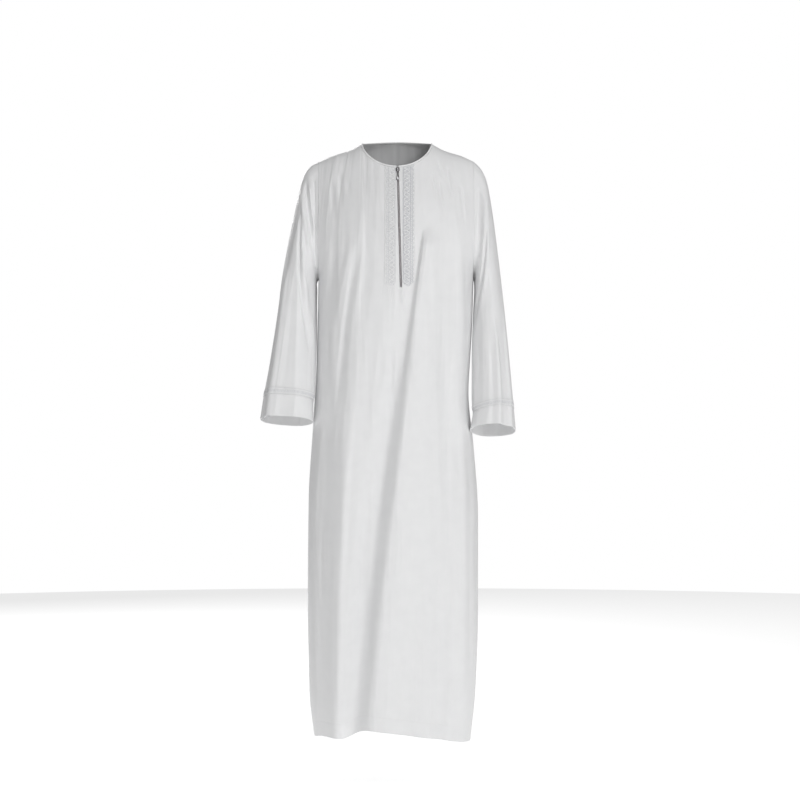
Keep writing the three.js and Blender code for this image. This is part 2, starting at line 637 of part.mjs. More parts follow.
/** The closed teeth, from the slider's post down to the end of the slot. */
function chainGeometry() {
  const start = zipRowAt(SLIDER_Z + SLIDER.length / 2 - SLIDER.postLength - 2 * SEAM_GAP);
  const end = zipRowAt(ZIP_END_Z + SEAM_GAP + CHAIN_END_CLEARANCE);
  const rows = [start, ...wholeRows(Math.ceil(start), Math.floor(end)), end].map((row) => {
    const { point, normal } = zipPoint(row);
    const across = new THREE.Vector3(CHAIN_HALF_WIDTH, 0, 0);
    return [point.clone().sub(across), point.clone().add(across)].map((corner) => ({ corner, normal }));
  });
  return wall({
    points: rows.map((row) => row.map(({ corner }) => corner)),
    normals: rows.map((row) => row.map(({ normal }) => normal)),
  }, { thickness: CHAIN, lift: -CHAIN_SET_BACK });
}

// ---------------------------------------------------------------- slider and pull

/** A rectangle with rounded corners, centred across and running down from its top. */
function roundedShape(width, length, top, corner) {
  const [x, high, low] = [width / 2, top, top - length];
  const shape = new THREE.Shape();
  shape.absarc(x - corner, high - corner, corner, 0, Math.PI / 2);
  shape.absarc(corner - x, high - corner, corner, Math.PI / 2, Math.PI);
  shape.absarc(corner - x, low + corner, corner, Math.PI, 1.5 * Math.PI);
  shape.absarc(x - corner, low + corner, corner, 1.5 * Math.PI, 2 * Math.PI);
  return shape;
}

/** A shape given a thickness out from a level. */
function plate(shape, thickness, out) {
  const options = { depth: thickness, bevelEnabled: false, curveSegments: ARC_SEGMENTS };
  return new THREE.ExtrudeGeometry(shape, options).translate(0, 0, out);
}

/** A solid for cutting and joining, from a geometry. */
function solid(geometry) {
  const bare = geometry.index ? geometry.toNonIndexed() : geometry;
  const place = bare.getAttribute('position');
  const vertices = [];
  const numbers = new Map();
  const triangles = [];
  for (let i = 0; i < place.count; i += 1) {
    const exact = [place.getX(i), place.getY(i), place.getZ(i)];
    const corner = exact.map((value) => Math.round(value * WELD_STEPS) / WELD_STEPS);
    const key = corner.join(' ');
    if (!numbers.has(key)) {
      numbers.set(key, numbers.size);
      vertices.push(...corner);
    }
    triangles.push(numbers.get(key));
  }
  return new wasm.Manifold(new wasm.Mesh({
    numProp: 3,
    vertProperties: new Float32Array(vertices),
    triVerts: new Uint32Array(triangles),
  }));
}

/** The geometry of a solid. */
function geometryOf(manifold) {
  const { vertProperties, triVerts } = manifold.getMesh();
  return closedGeometry(Array.from(vertProperties), Array.from(triVerts));
}

/** Two plates joined by a post above the teeth, and the bridge that holds the pull. */
function sliderGeometry() {
  const { width, length, plate: thick, corner, postWidth, postLength } = SLIDER;
  const outline = roundedShape(width, length, length / 2, corner);
  const rear = -CHAIN_SET_BACK - CHAIN - SEAM_GAP - thick;
  const front = SEAM_GAP;
  const postHeight = front - rear;
  const post = new THREE.BoxGeometry(postWidth, postLength, postHeight);
  post.translate(0, length / 2 - postLength / 2 - SEAM_GAP, rear + postHeight / 2);
  const base = front + thick;
  const sunk = thick / 2;
  const bridge = new THREE.BoxGeometry(BRIDGE.width, BRIDGE.length, BRIDGE.height + sunk);
  bridge.translate(0, 0, base + (BRIDGE.height - sunk) / 2);
  const hole = new THREE.BoxGeometry(
    2 * BRIDGE.width, BRIDGE.length - 2 * BRIDGE.wall, BRIDGE.height - BRIDGE.wall,
  );
  hole.translate(0, 0, base + (BRIDGE.height - BRIDGE.wall) / 2);
  return geometryOf(
    solid(plate(outline, thick, rear))
      .add(solid(plate(outline, thick, front)))
      .add(solid(post))
      .add(solid(bridge))
      .subtract(solid(hole)),
  );
}

/** The flat loop that turns in the slider's bridge. */
function linkGeometry() {
  const { width, length, bar, thickness } = LINK;
  const shape = roundedShape(width, length, bar / 2, bar);
  shape.holes.push(roundedShape(width - 2 * bar, length - 2 * bar, -bar / 2, bar / 4));
  return plate(shape, thickness, -thickness / 2);
}

/** The ring through the link's end and the drop's eye, standing across both. */
function ringGeometry() {
  const ring = new THREE.TorusGeometry(RING.radius, RING.wire, RING.sides, RING.steps);
  return ring.rotateY(Math.PI / 2).translate(0, ringCentre(), 0);
}

/** Places along the pull, down from its hinge: the ring's centre and the top of the drop. */
function ringCentre() {
  const linkEnd = LINK.bar / 2 - LINK.length;
  return linkEnd + LINK.bar + SEAM_GAP - (RING.radius - RING.wire);
}
const dropTop = () => LINK.bar / 2 - LINK.length - SEAM_GAP;

/** The flat drop that hangs from the ring: a narrow eye that widens to a round end. */
function dropGeometry() {
  const { neck, width, length, thickness, eye, rim } = DROP;
  const top = dropTop();
  const radius = width / 2;
  const roundZ = top - length + radius;
  const shape = new THREE.Shape();
  shape.absarc(0, top - neck, neck, 0, Math.PI);
  shape.quadraticCurveTo(-neck, top - length / 2, -radius, roundZ);
  shape.absarc(0, roundZ, radius, Math.PI, 2 * Math.PI);
  shape.quadraticCurveTo(neck, top - length / 2, neck, top - neck);
  const hole = new THREE.Path();
  hole.absarc(0, top - rim - eye, eye, 0, 2 * Math.PI);
  shape.holes.push(hole);
  return plate(shape, thickness, -thickness / 2);
}

/** The slider at the top of the zip, with the pull hanging from its bridge. */
function sliderGroup() {
  const row = zipRowAt(SLIDER_Z);
  const { point, normal } = zipPoint(row);
  const group = new THREE.Group();
  group.position.copy(point);
  group.rotation.x = Math.atan2(-normal.y, normal.z);
  group.add(mesh('zip_slider', sliderGeometry(), steel));
  const pull = new THREE.Group();
  pull.position.z = SEAM_GAP + SLIDER.plate + (BRIDGE.height - BRIDGE.wall) / 2;
  pull.rotation.x = THREE.MathUtils.degToRad(PULL_LEAN_DEGREES);
  pull.add(mesh('pull_link', linkGeometry(), steel));
  pull.add(mesh('pull_ring', ringGeometry(), steel));
  pull.add(mesh('pull_drop', dropGeometry(), steel));
  group.add(pull);
  return group;
}

// ---------------------------------------------------------------- the robe

/** A named piece. */
function mesh(name, geometry, material) {
  const piece = new THREE.Mesh(geometry, material);
  piece.name = name;
  return piece;
}

const inSlot = (row, column) => column === SLOT_COLUMN && row < YOKE_ROWS;

const robe = new THREE.Group();
robe.add(mesh('front_panel', wall(frontGrid, { open: inSlot }), satin));
robe.add(mesh('back_panel', wall(backGrid), satin));
robe.add(...sleeveParts('right', RIGHT_SLEEVE));
robe.add(...sleeveParts('left', LEFT_SLEEVE));
robe.add(mesh('neck_binding', bindingGeometry(), binding));
robe.add(mesh('placket_embroidery_right', stripGeometry(-1), thread));
robe.add(mesh('placket_embroidery_left', stripGeometry(1), thread));
robe.add(mesh('zip_tape_right', tapeGeometry(-1), tape));
robe.add(mesh('zip_tape_left', tapeGeometry(1), tape));
robe.add(mesh('zip_chain', chainGeometry(), teeth));
robe.add(sliderGroup());

export default robe;
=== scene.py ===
"""An ankle-length satin robe with a bound neck, a front zip and embroidered strips.

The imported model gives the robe's frame. This script covers it with fine cloth on the same forms, and adds
the creases, the stitching, the embroidery, the zip's teeth and the metal pull. Sizes are in millimetres
until a mesh is made. The front faces -Y and +X is the wearer's left.
"""

import json
import logging
import math
import random
from collections.abc import Callable, Sequence
from dataclasses import dataclass, field, replace
from enum import Enum

import bmesh
import bpy
import numpy as np
from mathutils import Vector
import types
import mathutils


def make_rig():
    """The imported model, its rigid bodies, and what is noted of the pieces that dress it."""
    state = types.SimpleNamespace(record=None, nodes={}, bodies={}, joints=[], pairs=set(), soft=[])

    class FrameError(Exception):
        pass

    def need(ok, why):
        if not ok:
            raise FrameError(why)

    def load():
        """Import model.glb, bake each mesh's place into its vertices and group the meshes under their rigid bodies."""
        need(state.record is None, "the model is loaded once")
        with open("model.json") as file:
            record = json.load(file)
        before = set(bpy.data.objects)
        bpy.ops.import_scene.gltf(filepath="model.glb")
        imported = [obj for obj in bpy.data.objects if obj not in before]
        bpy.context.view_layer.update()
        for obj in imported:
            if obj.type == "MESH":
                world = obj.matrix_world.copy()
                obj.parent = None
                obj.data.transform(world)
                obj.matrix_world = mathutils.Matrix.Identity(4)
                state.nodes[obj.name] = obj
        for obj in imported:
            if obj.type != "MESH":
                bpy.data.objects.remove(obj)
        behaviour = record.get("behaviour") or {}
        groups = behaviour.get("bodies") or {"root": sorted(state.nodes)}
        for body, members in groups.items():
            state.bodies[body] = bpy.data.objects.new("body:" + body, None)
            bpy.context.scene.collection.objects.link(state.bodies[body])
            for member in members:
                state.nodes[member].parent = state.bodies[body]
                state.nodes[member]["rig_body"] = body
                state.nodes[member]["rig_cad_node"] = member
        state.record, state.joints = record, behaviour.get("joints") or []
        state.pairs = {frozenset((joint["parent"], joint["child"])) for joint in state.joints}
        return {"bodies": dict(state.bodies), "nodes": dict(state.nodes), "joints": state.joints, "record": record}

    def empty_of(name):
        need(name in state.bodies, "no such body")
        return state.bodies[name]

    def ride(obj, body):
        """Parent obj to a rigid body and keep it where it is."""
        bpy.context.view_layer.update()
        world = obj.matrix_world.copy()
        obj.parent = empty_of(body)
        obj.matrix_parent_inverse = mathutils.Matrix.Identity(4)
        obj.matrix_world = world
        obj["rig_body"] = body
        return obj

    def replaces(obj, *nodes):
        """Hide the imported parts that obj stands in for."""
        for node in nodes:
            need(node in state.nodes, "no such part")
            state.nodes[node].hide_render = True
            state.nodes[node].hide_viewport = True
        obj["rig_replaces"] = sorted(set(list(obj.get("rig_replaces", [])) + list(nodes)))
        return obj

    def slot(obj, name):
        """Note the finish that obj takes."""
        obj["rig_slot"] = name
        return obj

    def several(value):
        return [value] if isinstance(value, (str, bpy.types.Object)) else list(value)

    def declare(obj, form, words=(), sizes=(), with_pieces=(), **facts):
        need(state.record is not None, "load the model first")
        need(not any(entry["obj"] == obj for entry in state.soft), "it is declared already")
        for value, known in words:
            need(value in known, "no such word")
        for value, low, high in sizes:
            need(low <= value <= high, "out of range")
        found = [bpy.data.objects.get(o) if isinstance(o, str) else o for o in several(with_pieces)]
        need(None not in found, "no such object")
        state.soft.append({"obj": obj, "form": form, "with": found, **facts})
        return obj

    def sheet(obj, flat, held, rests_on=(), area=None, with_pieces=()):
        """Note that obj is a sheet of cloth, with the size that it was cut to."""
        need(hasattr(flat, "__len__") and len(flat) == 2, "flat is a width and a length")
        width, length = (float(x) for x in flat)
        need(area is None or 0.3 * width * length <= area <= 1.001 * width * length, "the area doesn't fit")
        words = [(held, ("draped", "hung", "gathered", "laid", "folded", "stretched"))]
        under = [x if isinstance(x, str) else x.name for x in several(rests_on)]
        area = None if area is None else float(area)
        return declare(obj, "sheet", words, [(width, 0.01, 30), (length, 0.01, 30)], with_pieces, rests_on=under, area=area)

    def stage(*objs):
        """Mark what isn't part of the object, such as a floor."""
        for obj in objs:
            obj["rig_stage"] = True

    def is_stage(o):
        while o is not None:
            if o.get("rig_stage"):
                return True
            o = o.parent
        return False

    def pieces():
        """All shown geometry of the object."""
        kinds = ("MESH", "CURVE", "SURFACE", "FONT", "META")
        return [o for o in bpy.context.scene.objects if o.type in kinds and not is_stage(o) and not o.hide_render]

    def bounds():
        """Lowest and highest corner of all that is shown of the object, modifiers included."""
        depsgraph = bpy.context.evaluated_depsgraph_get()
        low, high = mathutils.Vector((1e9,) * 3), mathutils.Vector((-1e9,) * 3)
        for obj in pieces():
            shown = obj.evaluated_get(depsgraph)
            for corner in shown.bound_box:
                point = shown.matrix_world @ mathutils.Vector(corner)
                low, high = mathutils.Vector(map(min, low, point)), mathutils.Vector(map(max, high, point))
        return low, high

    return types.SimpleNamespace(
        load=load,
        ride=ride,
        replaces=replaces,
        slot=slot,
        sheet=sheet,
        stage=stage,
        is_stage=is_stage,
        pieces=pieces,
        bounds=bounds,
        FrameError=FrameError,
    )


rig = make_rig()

log = logging.getLogger("robe")

Numbers = float | np.ndarray
Colour = tuple[float, float, float]
Piece = bpy.types.Object
Material = bpy.types.Material
Socket = bpy.types.NodeSocket
Tree = bpy.types.NodeTree

MM = 0.001
SAME = 1e-6  # two values this close are one
SEAM_GAP = 0.3  # between two pieces that are sewn or laid together
HALF_GAP = SEAM_GAP / 2
CAD_CLOTH = 1.5  # the frame's cloth, behind which the zip's tapes lie
SHOWN_CLOTH = 1.0  # thickness of the shown cloth with its turned edges
WAVE_PERIOD = math.pi / 10  # of Blender's wave texture at a scale of 1
GARMENT = "garment"
PULL = "zip_pull"


class Side(Enum):
    """The wearer's right or left, by the sign of X."""

    RIGHT = -1
    LEFT = 1

    @property
    def word(self) -> str:
        """The side's name as the frame's nodes have it."""
        return self.name.lower()


# ---------------------------------------------------------------- numbers and curves


def lerp(start: Numbers, end: Numbers, share: Numbers) -> Numbers:
    """A value part of the way from start to end."""
    return start + (end - start) * share


def smoothstep(t: Numbers) -> Numbers:
    """A smooth rise from 0 to 1 as t goes from 0 to 1."""
    t = np.clip(t, 0, 1)
    return t * t * (3 - 2 * t)


def crowded(step: Numbers) -> Numbers:
    """Even steps from 0 to 1 made closer towards 1."""
    return np.sin(math.pi / 2 * step)


def turns_round(count: int) -> np.ndarray:
    """Even angles once round, in radians."""
    return np.arange(count) * 2 * math.pi / count


def squared(values: np.ndarray, power: float) -> np.ndarray:
    """Sines or cosines raised to a power with their signs kept, which squares a circle up."""
    return np.sign(values) * np.abs(values) ** power


def unit(vectors: np.ndarray) -> np.ndarray:
    """The vectors, each made 1 long."""
    return vectors / np.linalg.norm(vectors, axis=-1, keepdims=True)


def gaps(points: np.ndarray, axis: int = 0) -> np.ndarray:
    """Distances between neighbours along one axis of a line or grid of points."""
    return np.linalg.norm(np.diff(points, axis=axis), axis=-1)


def running_total(steps: np.ndarray) -> np.ndarray:
    """How far along each place is, 0 at the first, from the steps between them."""
    return np.concatenate([[0], np.cumsum(steps)])


def hump(distance: np.ndarray, minus_reach: Numbers, plus_reach: Numbers) -> np.ndarray:
    """A soft hump of the distance from its middle, 1 there and 0 at its reaches to minus and to plus."""
    t = np.clip(distance / np.where(distance < 0, minus_reach, plus_reach), -1, 1)
    return (1 - t * t) ** 2


class SmoothCurve:
    """A curve through (key, value) pairs that never overshoots them, held level past its ends."""

    def __init__(self, pairs: Sequence[tuple[float, float]]) -> None:
        """Sorts the pairs and finds the curve's slope at each.

        Args:
            pairs: The keys and values that the curve goes through.
        """
        self.keys, self.values = np.array(sorted(pairs), float).T
        rises = np.diff(self.values) / np.diff(self.keys)
        before = np.concatenate([rises[:1], rises])
        after = np.concatenate([rises, rises[-1:]])
        turning = before * after <= 0
        total = np.where(turning, 1, before + after)
        self.slopes = np.where(turning, 0, 2 * before * after / total)

    def __call__(self, key: Numbers) -> Numbers:
        """The curve's value.

        Args:
            key: One key or an array of them.

        Returns:
            The value at each.
        """
        clamped = np.clip(key, self.keys[0], self.keys[-1])
        i = np.clip(np.searchsorted(self.keys, clamped) - 1, 0, len(self.keys) - 2)
        span = self.keys[i + 1] - self.keys[i]
        t = (clamped - self.keys[i]) / span
        start = lerp(self.values[i], self.values[i + 1], smoothstep(t))
        return start + span * t * (1 - t) * ((1 - t) * self.slopes[i] - t * self.slopes[i + 1])


@dataclass(frozen=True)
class Fold:
    """A fold or crease that runs down a panel, standing out, or in where its height is negative.

    It follows a curve through three places across, grows from nothing over a length at its top, and may
    fade over another at its bottom. Its slopes reach their own distances towards -X and +X.
    """

    top: float
    bottom: float
    x: tuple[float, float, float]
    height: float
    growth: float
    minus_reach: float
    plus_reach: float
    fade: float = 0.0
    widen: float = 1.0

    def push(self, x: np.ndarray, z: np.ndarray) -> np.ndarray:
        """How far the fold pushes the cloth out at each place.

        Args:
            x: The places across.
            z: Their levels.

        Returns:
            The push in millimetres.
        """
        t = np.clip((self.top - z) / (self.top - self.bottom), 0, 1)
        start, middle, end = self.x
        across = start * (1 - t) * (1 - 2 * t) + middle * 4 * t * (1 - t) + end * t * (2 * t - 1)
        strength = smoothstep((self.top - z) / self.growth)
        if self.fade:
            strength = strength * smoothstep((z - self.bottom) / self.fade)
        wider = lerp(1, self.widen, t)
        shape = hump(x - across, self.minus_reach * wider, self.plus_reach * wider)
        return self.height * strength * shape


# ---------------------------------------------------------------- the robe's form

SHOULDER_CREST = SmoothCurve([(0, 26), (45, 17), (87, 0), (114, -14), (158, -28), (188, -42)])
RIGHT_SIDE_SEAM = SmoothCurve(
    [(-330, 188), (-520, 192.5), (-690, 202), (-860, 212), (-1100, 214), (-1330, 210), (-1431, 199)]
)
LEFT_SIDE_SEAM = SmoothCurve(
    [
        (-330, 188), (-430, 185), (-520, 180), (-600, 176), (-740, 189),
        (-900, 199), (-1140, 199), (-1320, 193), (-1442, 181),
    ]
)
FRONT_DEPTH = [(0, 0), (10, 28), (45, 56), (85, 75), (176, 112), (276, 132), (426, 139), (1456, 150)]
BACK_DEPTH = [(0, 0), (8, 33), (18, 52), (60, 75), (126, 97), (226, 114), (426, 120), (1456, 131)]
FRONT_HEM = SmoothCurve(
    [(-199, -1431), (-174, -1424), (-128, -1425), (-68, -1402), (-32, -1406), (60, -1420), (181, -1442)]
)
BACK_HEM = SmoothCurve([(-199, -1431), (0, -1437), (181, -1442)])

# The folds of the frame: top, bottom, places across, height, growth, reach towards -X and +X.
FRONT_FOLDS = (
    Fold(-235, -1440, (52, -34, -106), -15, 620, 52, 34),
    Fold(-235, -1440, (76, 5, -58), 13, 620, 34, 96),
    Fold(-270, -1440, (-90, -134, -142), 13, 420, 42, 62),
    Fold(-360, -1440, (112, 122, 98), -7, 300, 46, 40),
    Fold(-200, -1440, (150, 160, 162), 5, 200, 24, 24),
)
BACK_FOLDS = (
    Fold(-190, -1450, (-96, -122, -138), 12, 520, 46, 60),
    Fold(-260, -1450, (-40, -62, -86), -13, 600, 40, 44),
    Fold(-330, -1450, (14, 2, -14), 11, 500, 52, 46),
    Fold(-230, -1450, (62, 66, 58), -12, 560, 44, 42),
    Fold(-180, -1450, (112, 128, 130), 12, 480, 50, 44),
)

# The creases that only the shown cloth has.
FRONT_CREASES = (
    # the long fold that starts beside the strips and crosses to the wearer's right
    Fold(-206, -760, (72, 36, 2), 9.5, 50, 7, 50, fade=330, widen=2.7),
    Fold(-212, -760, (63, 26, -12), -4.0, 70, 26, 7, fade=330, widen=2.4),
    Fold(-196, -430, (79, 66, 50), 2.4, 50, 6, 11, fade=150),
    Fold(-560, -1445, (14, -38, -84), 5.0, 240, 16, 60, widen=1.7),
    Fold(-560, -1445, (0, -54, -104), -4.0, 240, 40, 16, widen=1.6),
    # the folds below the wearer's right chest
    Fold(-130, -540, (-94, -104, -120), 5.0, 120, 48, 30, fade=190),
    Fold(-232, -690, (-88, -122, -138), -7.0, 110, 10, 16, fade=170, widen=1.3),
    Fold(-236, -520, (-104, -134, -150), 3.4, 90, 12, 8, fade=150),
    Fold(-205, -455, (-146, -153, -178), -4.4, 90, 14, 17, fade=140),
    Fold(-176, -372, (-119, -124, -133), -1.9, 70, 9, 12, fade=110),
    Fold(-256, -470, (-62, -76, -96), -1.8, 100, 12, 18, fade=130, widen=1.3),
    Fold(-390, -640, (-152, -151, -152), 3.6, 90, 13, 13, fade=140),
    Fold(-600, -1445, (-106, -134, -137), 7.5, 220, 44, 20),
    Fold(-640, -1445, (-124, -156, -164), -5.5, 220, 34, 26),
    Fold(-655, -960, (-176, -187, -197), 3.6, 60, 8, 9, fade=140),
    Fold(-700, -1330, (-66, -84, -96), -2.2, 160, 16, 22, fade=260),
    # the shallow folds towards the wearer's left
    Fold(-420, -1050, (113, 124, 124), -8.0, 190, 24, 28, fade=240),
    Fold(-1000, -1445, (112, 104, 104), -7.0, 160, 26, 30),
    Fold(-180, -1400, (154, 166, 166), 5.4, 150, 18, 10, fade=220),
    Fold(-250, -560, (66, 84, 92), -2.6, 90, 14, 14, fade=160, widen=1.5),
    Fold(-330, -900, (88, 70, 62), 2.0, 150, 16, 20, fade=260),
    # small ones under the zip
    Fold(-352, -414, (13, 17, 24), 3.2, 12, 5, 6, fade=30),
    Fold(-354, -440, (7, 4, 1), -2.0, 16, 6, 6, fade=50),
    Fold(-500, -625, (-8, -11, -14), -2.8, 40, 9, 9, fade=55),
    Fold(-465, -650, (-30, -38, -50), -2.2, 60, 12, 14, fade=95),
    Fold(-478, -600, (26, 30, 38), -1.6, 50, 12, 12, fade=70),
    # gathers below the shoulders
    Fold(-40, -92, (99, 106, 114), -2.6, 14, 5, 6, fade=24),
    Fold(-54, -150, (122, 128, 134), -4.8, 18, 6, 8, fade=50),
    Fold(-74, -140, (87, 91, 95), -2.6, 14, 5, 6, fade=34),
    Fold(-82, -186, (101, 107, 115), -3.8, 20, 6, 7, fade=60),
    Fold(-98, -216, (156, 160, 164), -3.4, 22, 7, 7, fade=60),
    Fold(-78, -222, (-156, -151, -143), -3.0, 40, 8, 10, fade=90),
    Fold(-64, -178, (-136, -133, -127), -2.4, 30, 7, 9, fade=70),
    Fold(-82, -140, (-119, -114, -111), -1.3, 24, 7, 9, fade=34),
)
BACK_CREASES = (
    Fold(-110, -640, (-66, -82, -98), -4.2, 120, 14, 20, fade=280, widen=1.7),
    Fold(-150, -720, (36, 46, 54), -4.0, 130, 18, 13, fade=300, widen=1.8),
    Fold(-92, -340, (-148, -152, -160), -3.0, 50, 9, 11, fade=110),
    Fold(-86, -372, (146, 156, 166), -3.2, 60, 10, 9, fade=130),
    Fold(-300, -900, (88, 100, 96), 3.4, 160, 15, 22, fade=320),
    Fold(-420, -1060, (-20, -30, -44), 3.0, 180, 18, 14, fade=330),
    Fold(-610, -1445, (-168, -172, -170), 4.0, 190, 15, 18),
    Fold(-700, -1445, (30, 22, 12), -3.4, 240, 22, 16),
    Fold(-560, -1445, (158, 166, 160), 4.0, 200, 17, 13),
    Fold(-36, -92, (104, 110, 116), -1.7, 16, 5, 6, fade=24),
    Fold(-34, -100, (-98, -104, -112), -1.9, 18, 6, 6, fade=28),
)


PUCKERS_FROM = -700.0
PUCKERS_TO = -1340


def seam_puckers() -> tuple[Fold, ...]:
    """Short uneven puckers along the wearer's left side seam, where its thread draws the cloth up.

    Returns:
        The puckers, from the top down.
    """
    draw = random.Random(11)
    puckers = []
    level = PUCKERS_FROM
    while level > PUCKERS_TO:
        length = draw.uniform(20, 42)
        x = draw.uniform(164, 180)
        lean = draw.uniform(-7, 3)
        depth = draw.uniform(-1.5, -0.7)
        places = (x, x + lean / 2, x + lean)
        puckers.append(Fold(level, level - length, places, depth, length / 2, 5, 6, fade=length / 2))
        level -= draw.uniform(24, 52)
    return tuple(puckers)


@dataclass(frozen=True)
class ThreadPath:
    """A line on the cloth that stitches follow, with the cloth's outward direction at each point."""

    points: np.ndarray
    normals: np.ndarray
    closed: bool = False


@dataclass(frozen=True)
class BodyForm:
    """The robe's body: where its seams, neckline and hem run, and how far it stands out."""

    neck_x: float = 2
    neck_half_width: float = 87
    front_neck_drop: float = 62
    front_neck_power: float = 0.58
    back_neck_rise: float = 8
    armhole_x: float = 188
    underarm_z: float = -330
    armhole_fullness: float = 26
    armhole_rounding: float = 130
    section_power: float = 2.4
    zip_end_z: float = -352
    zip_top_x: float = 4
    zip_end_x: float = 12
    slot_half_width: float = 2.9

    def crest_z(self, x: Numbers) -> Numbers:
        """Height of the shoulder crest at a place across."""
        return SHOULDER_CREST(np.abs(x - self.neck_x))

    def in_neck(self, x: Numbers) -> bool | np.ndarray:
        """True where a place across is inside the neck hole's width."""
        return np.abs(x - self.neck_x) <= self.neck_half_width + SAME

    def neck_arch(self, x: Numbers) -> Numbers:
        """1 in the middle of the neckline and 0 at the neck points."""
        return np.maximum(0, 1 - ((x - self.neck_x) / self.neck_half_width) ** 2)

    def zip_x(self, z: Numbers) -> Numbers:
        """Place across of the zip's line at a level."""
        t = (z + self.front_neck_drop) / (self.zip_end_z + self.front_neck_drop)
        return lerp(self.zip_top_x, self.zip_end_x, np.clip(t, 0, 1))

    def half_width(self, side: Numbers, z: Numbers) -> np.ndarray:
        """Half the width of the body's level section.

        Args:
            side: The sign of X.
            z: The level.

        Returns:
            The distance from the middle to the section's edge.
        """
        seam = np.where(side < 0, RIGHT_SIDE_SEAM(z), LEFT_SIDE_SEAM(z))
        share = smoothstep((z - self.underarm_z) / self.armhole_rounding)
        return np.where(z <= self.underarm_z, seam, self.armhole_x + self.armhole_fullness * share)


BODY = BodyForm()


@dataclass(frozen=True)
class PanelForm:
    """The front or the back of the body, with its depth, hem and folds."""

    facing: int
    depth: SmoothCurve
    hem: SmoothCurve
    folds: tuple[Fold, ...]
    creases: tuple[Fold, ...]

    def neck(self, x: Numbers) -> Numbers:
        """Height of the neckline at a place across."""
        if self.facing < 0:
            return -BODY.front_neck_drop * BODY.neck_arch(x) ** BODY.front_neck_power
        return BODY.back_neck_rise * BODY.neck_arch(x)

    def y_at(self, x: np.ndarray, z: np.ndarray) -> np.ndarray:
        """Depth coordinate of the cloth.

        Args:
            x: The places across.
            z: Their levels.

        Returns:
            Y at each place.
        """
        drop = np.maximum(0, BODY.crest_z(x) - z)
        across = np.minimum(1, np.abs(x) / BODY.half_width(np.sign(x), z))
        fullness = (1 - across**BODY.section_power) ** (1 / BODY.section_power)
        stand = self.depth(np.sqrt(drop)) + sum(fold.push(x, z) for fold in self.folds)
        fine = sum(crease.push(x, z) for crease in self.creases)
        # the fine creases keep their depth up to the side, where the section turns away
        y = fullness * stand + fine * np.sqrt(fullness)
        return self.facing * np.maximum(HALF_GAP, y)

    def path(self, x: Numbers, z: Numbers, step: float = 0.5) -> ThreadPath:
        """A line or grid on the cloth through places across and levels.

        Args:
            x: The places across.
            z: Their levels.
            step: How far apart the cloth is felt for its slope.

        Returns:
            The points with the cloth's outward directions.
        """
        x, z = (np.array(values, float) for values in np.broadcast_arrays(x, z))
        y = self.y_at(x, z)
        across = (self.y_at(x + step, z) - y) / step
        up = (self.y_at(x, z + step) - y) / step
        normals = np.stack([-across, np.ones_like(x), -up], axis=-1) * self.facing
        return ThreadPath(np.stack([x, y, z], axis=-1), unit(normals))


def depth_curve(pairs: Sequence[tuple[float, float]]) -> SmoothCurve:
    """Depth over the root of the drop below the crest, which rounds the crest."""
    return SmoothCurve([(math.sqrt(drop), depth) for drop, depth in pairs])


FRONT = PanelForm(-1, depth_curve(FRONT_DEPTH), FRONT_HEM, FRONT_FOLDS, FRONT_CREASES + seam_puckers())
BACK = PanelForm(1, depth_curve(BACK_DEPTH), BACK_HEM, BACK_FOLDS, BACK_CREASES)


# ---------------------------------------------------------------- grids of cloth


def grid_normals(points: np.ndarray, wrap: bool) -> np.ndarray:
    """Outward directions of a grid whose rows go down and whose columns go round.

    Args:
        points: The grid's points, by row and column.
        wrap: Whether the last column meets the first.

    Returns:
        A unit vector for each point.
    """
    wide = np.pad(points, ((0, 0), (1, 1), (0, 0)), "wrap" if wrap else "edge")
    tall = np.pad(points, ((1, 1), (0, 0), (0, 0)), "edge")
    normals = np.cross(tall[2:] - tall[:-2], wide[:, 2:] - wide[:, :-2])
    return normals / np.maximum(np.linalg.norm(normals, axis=-1, keepdims=True), 1e-12)


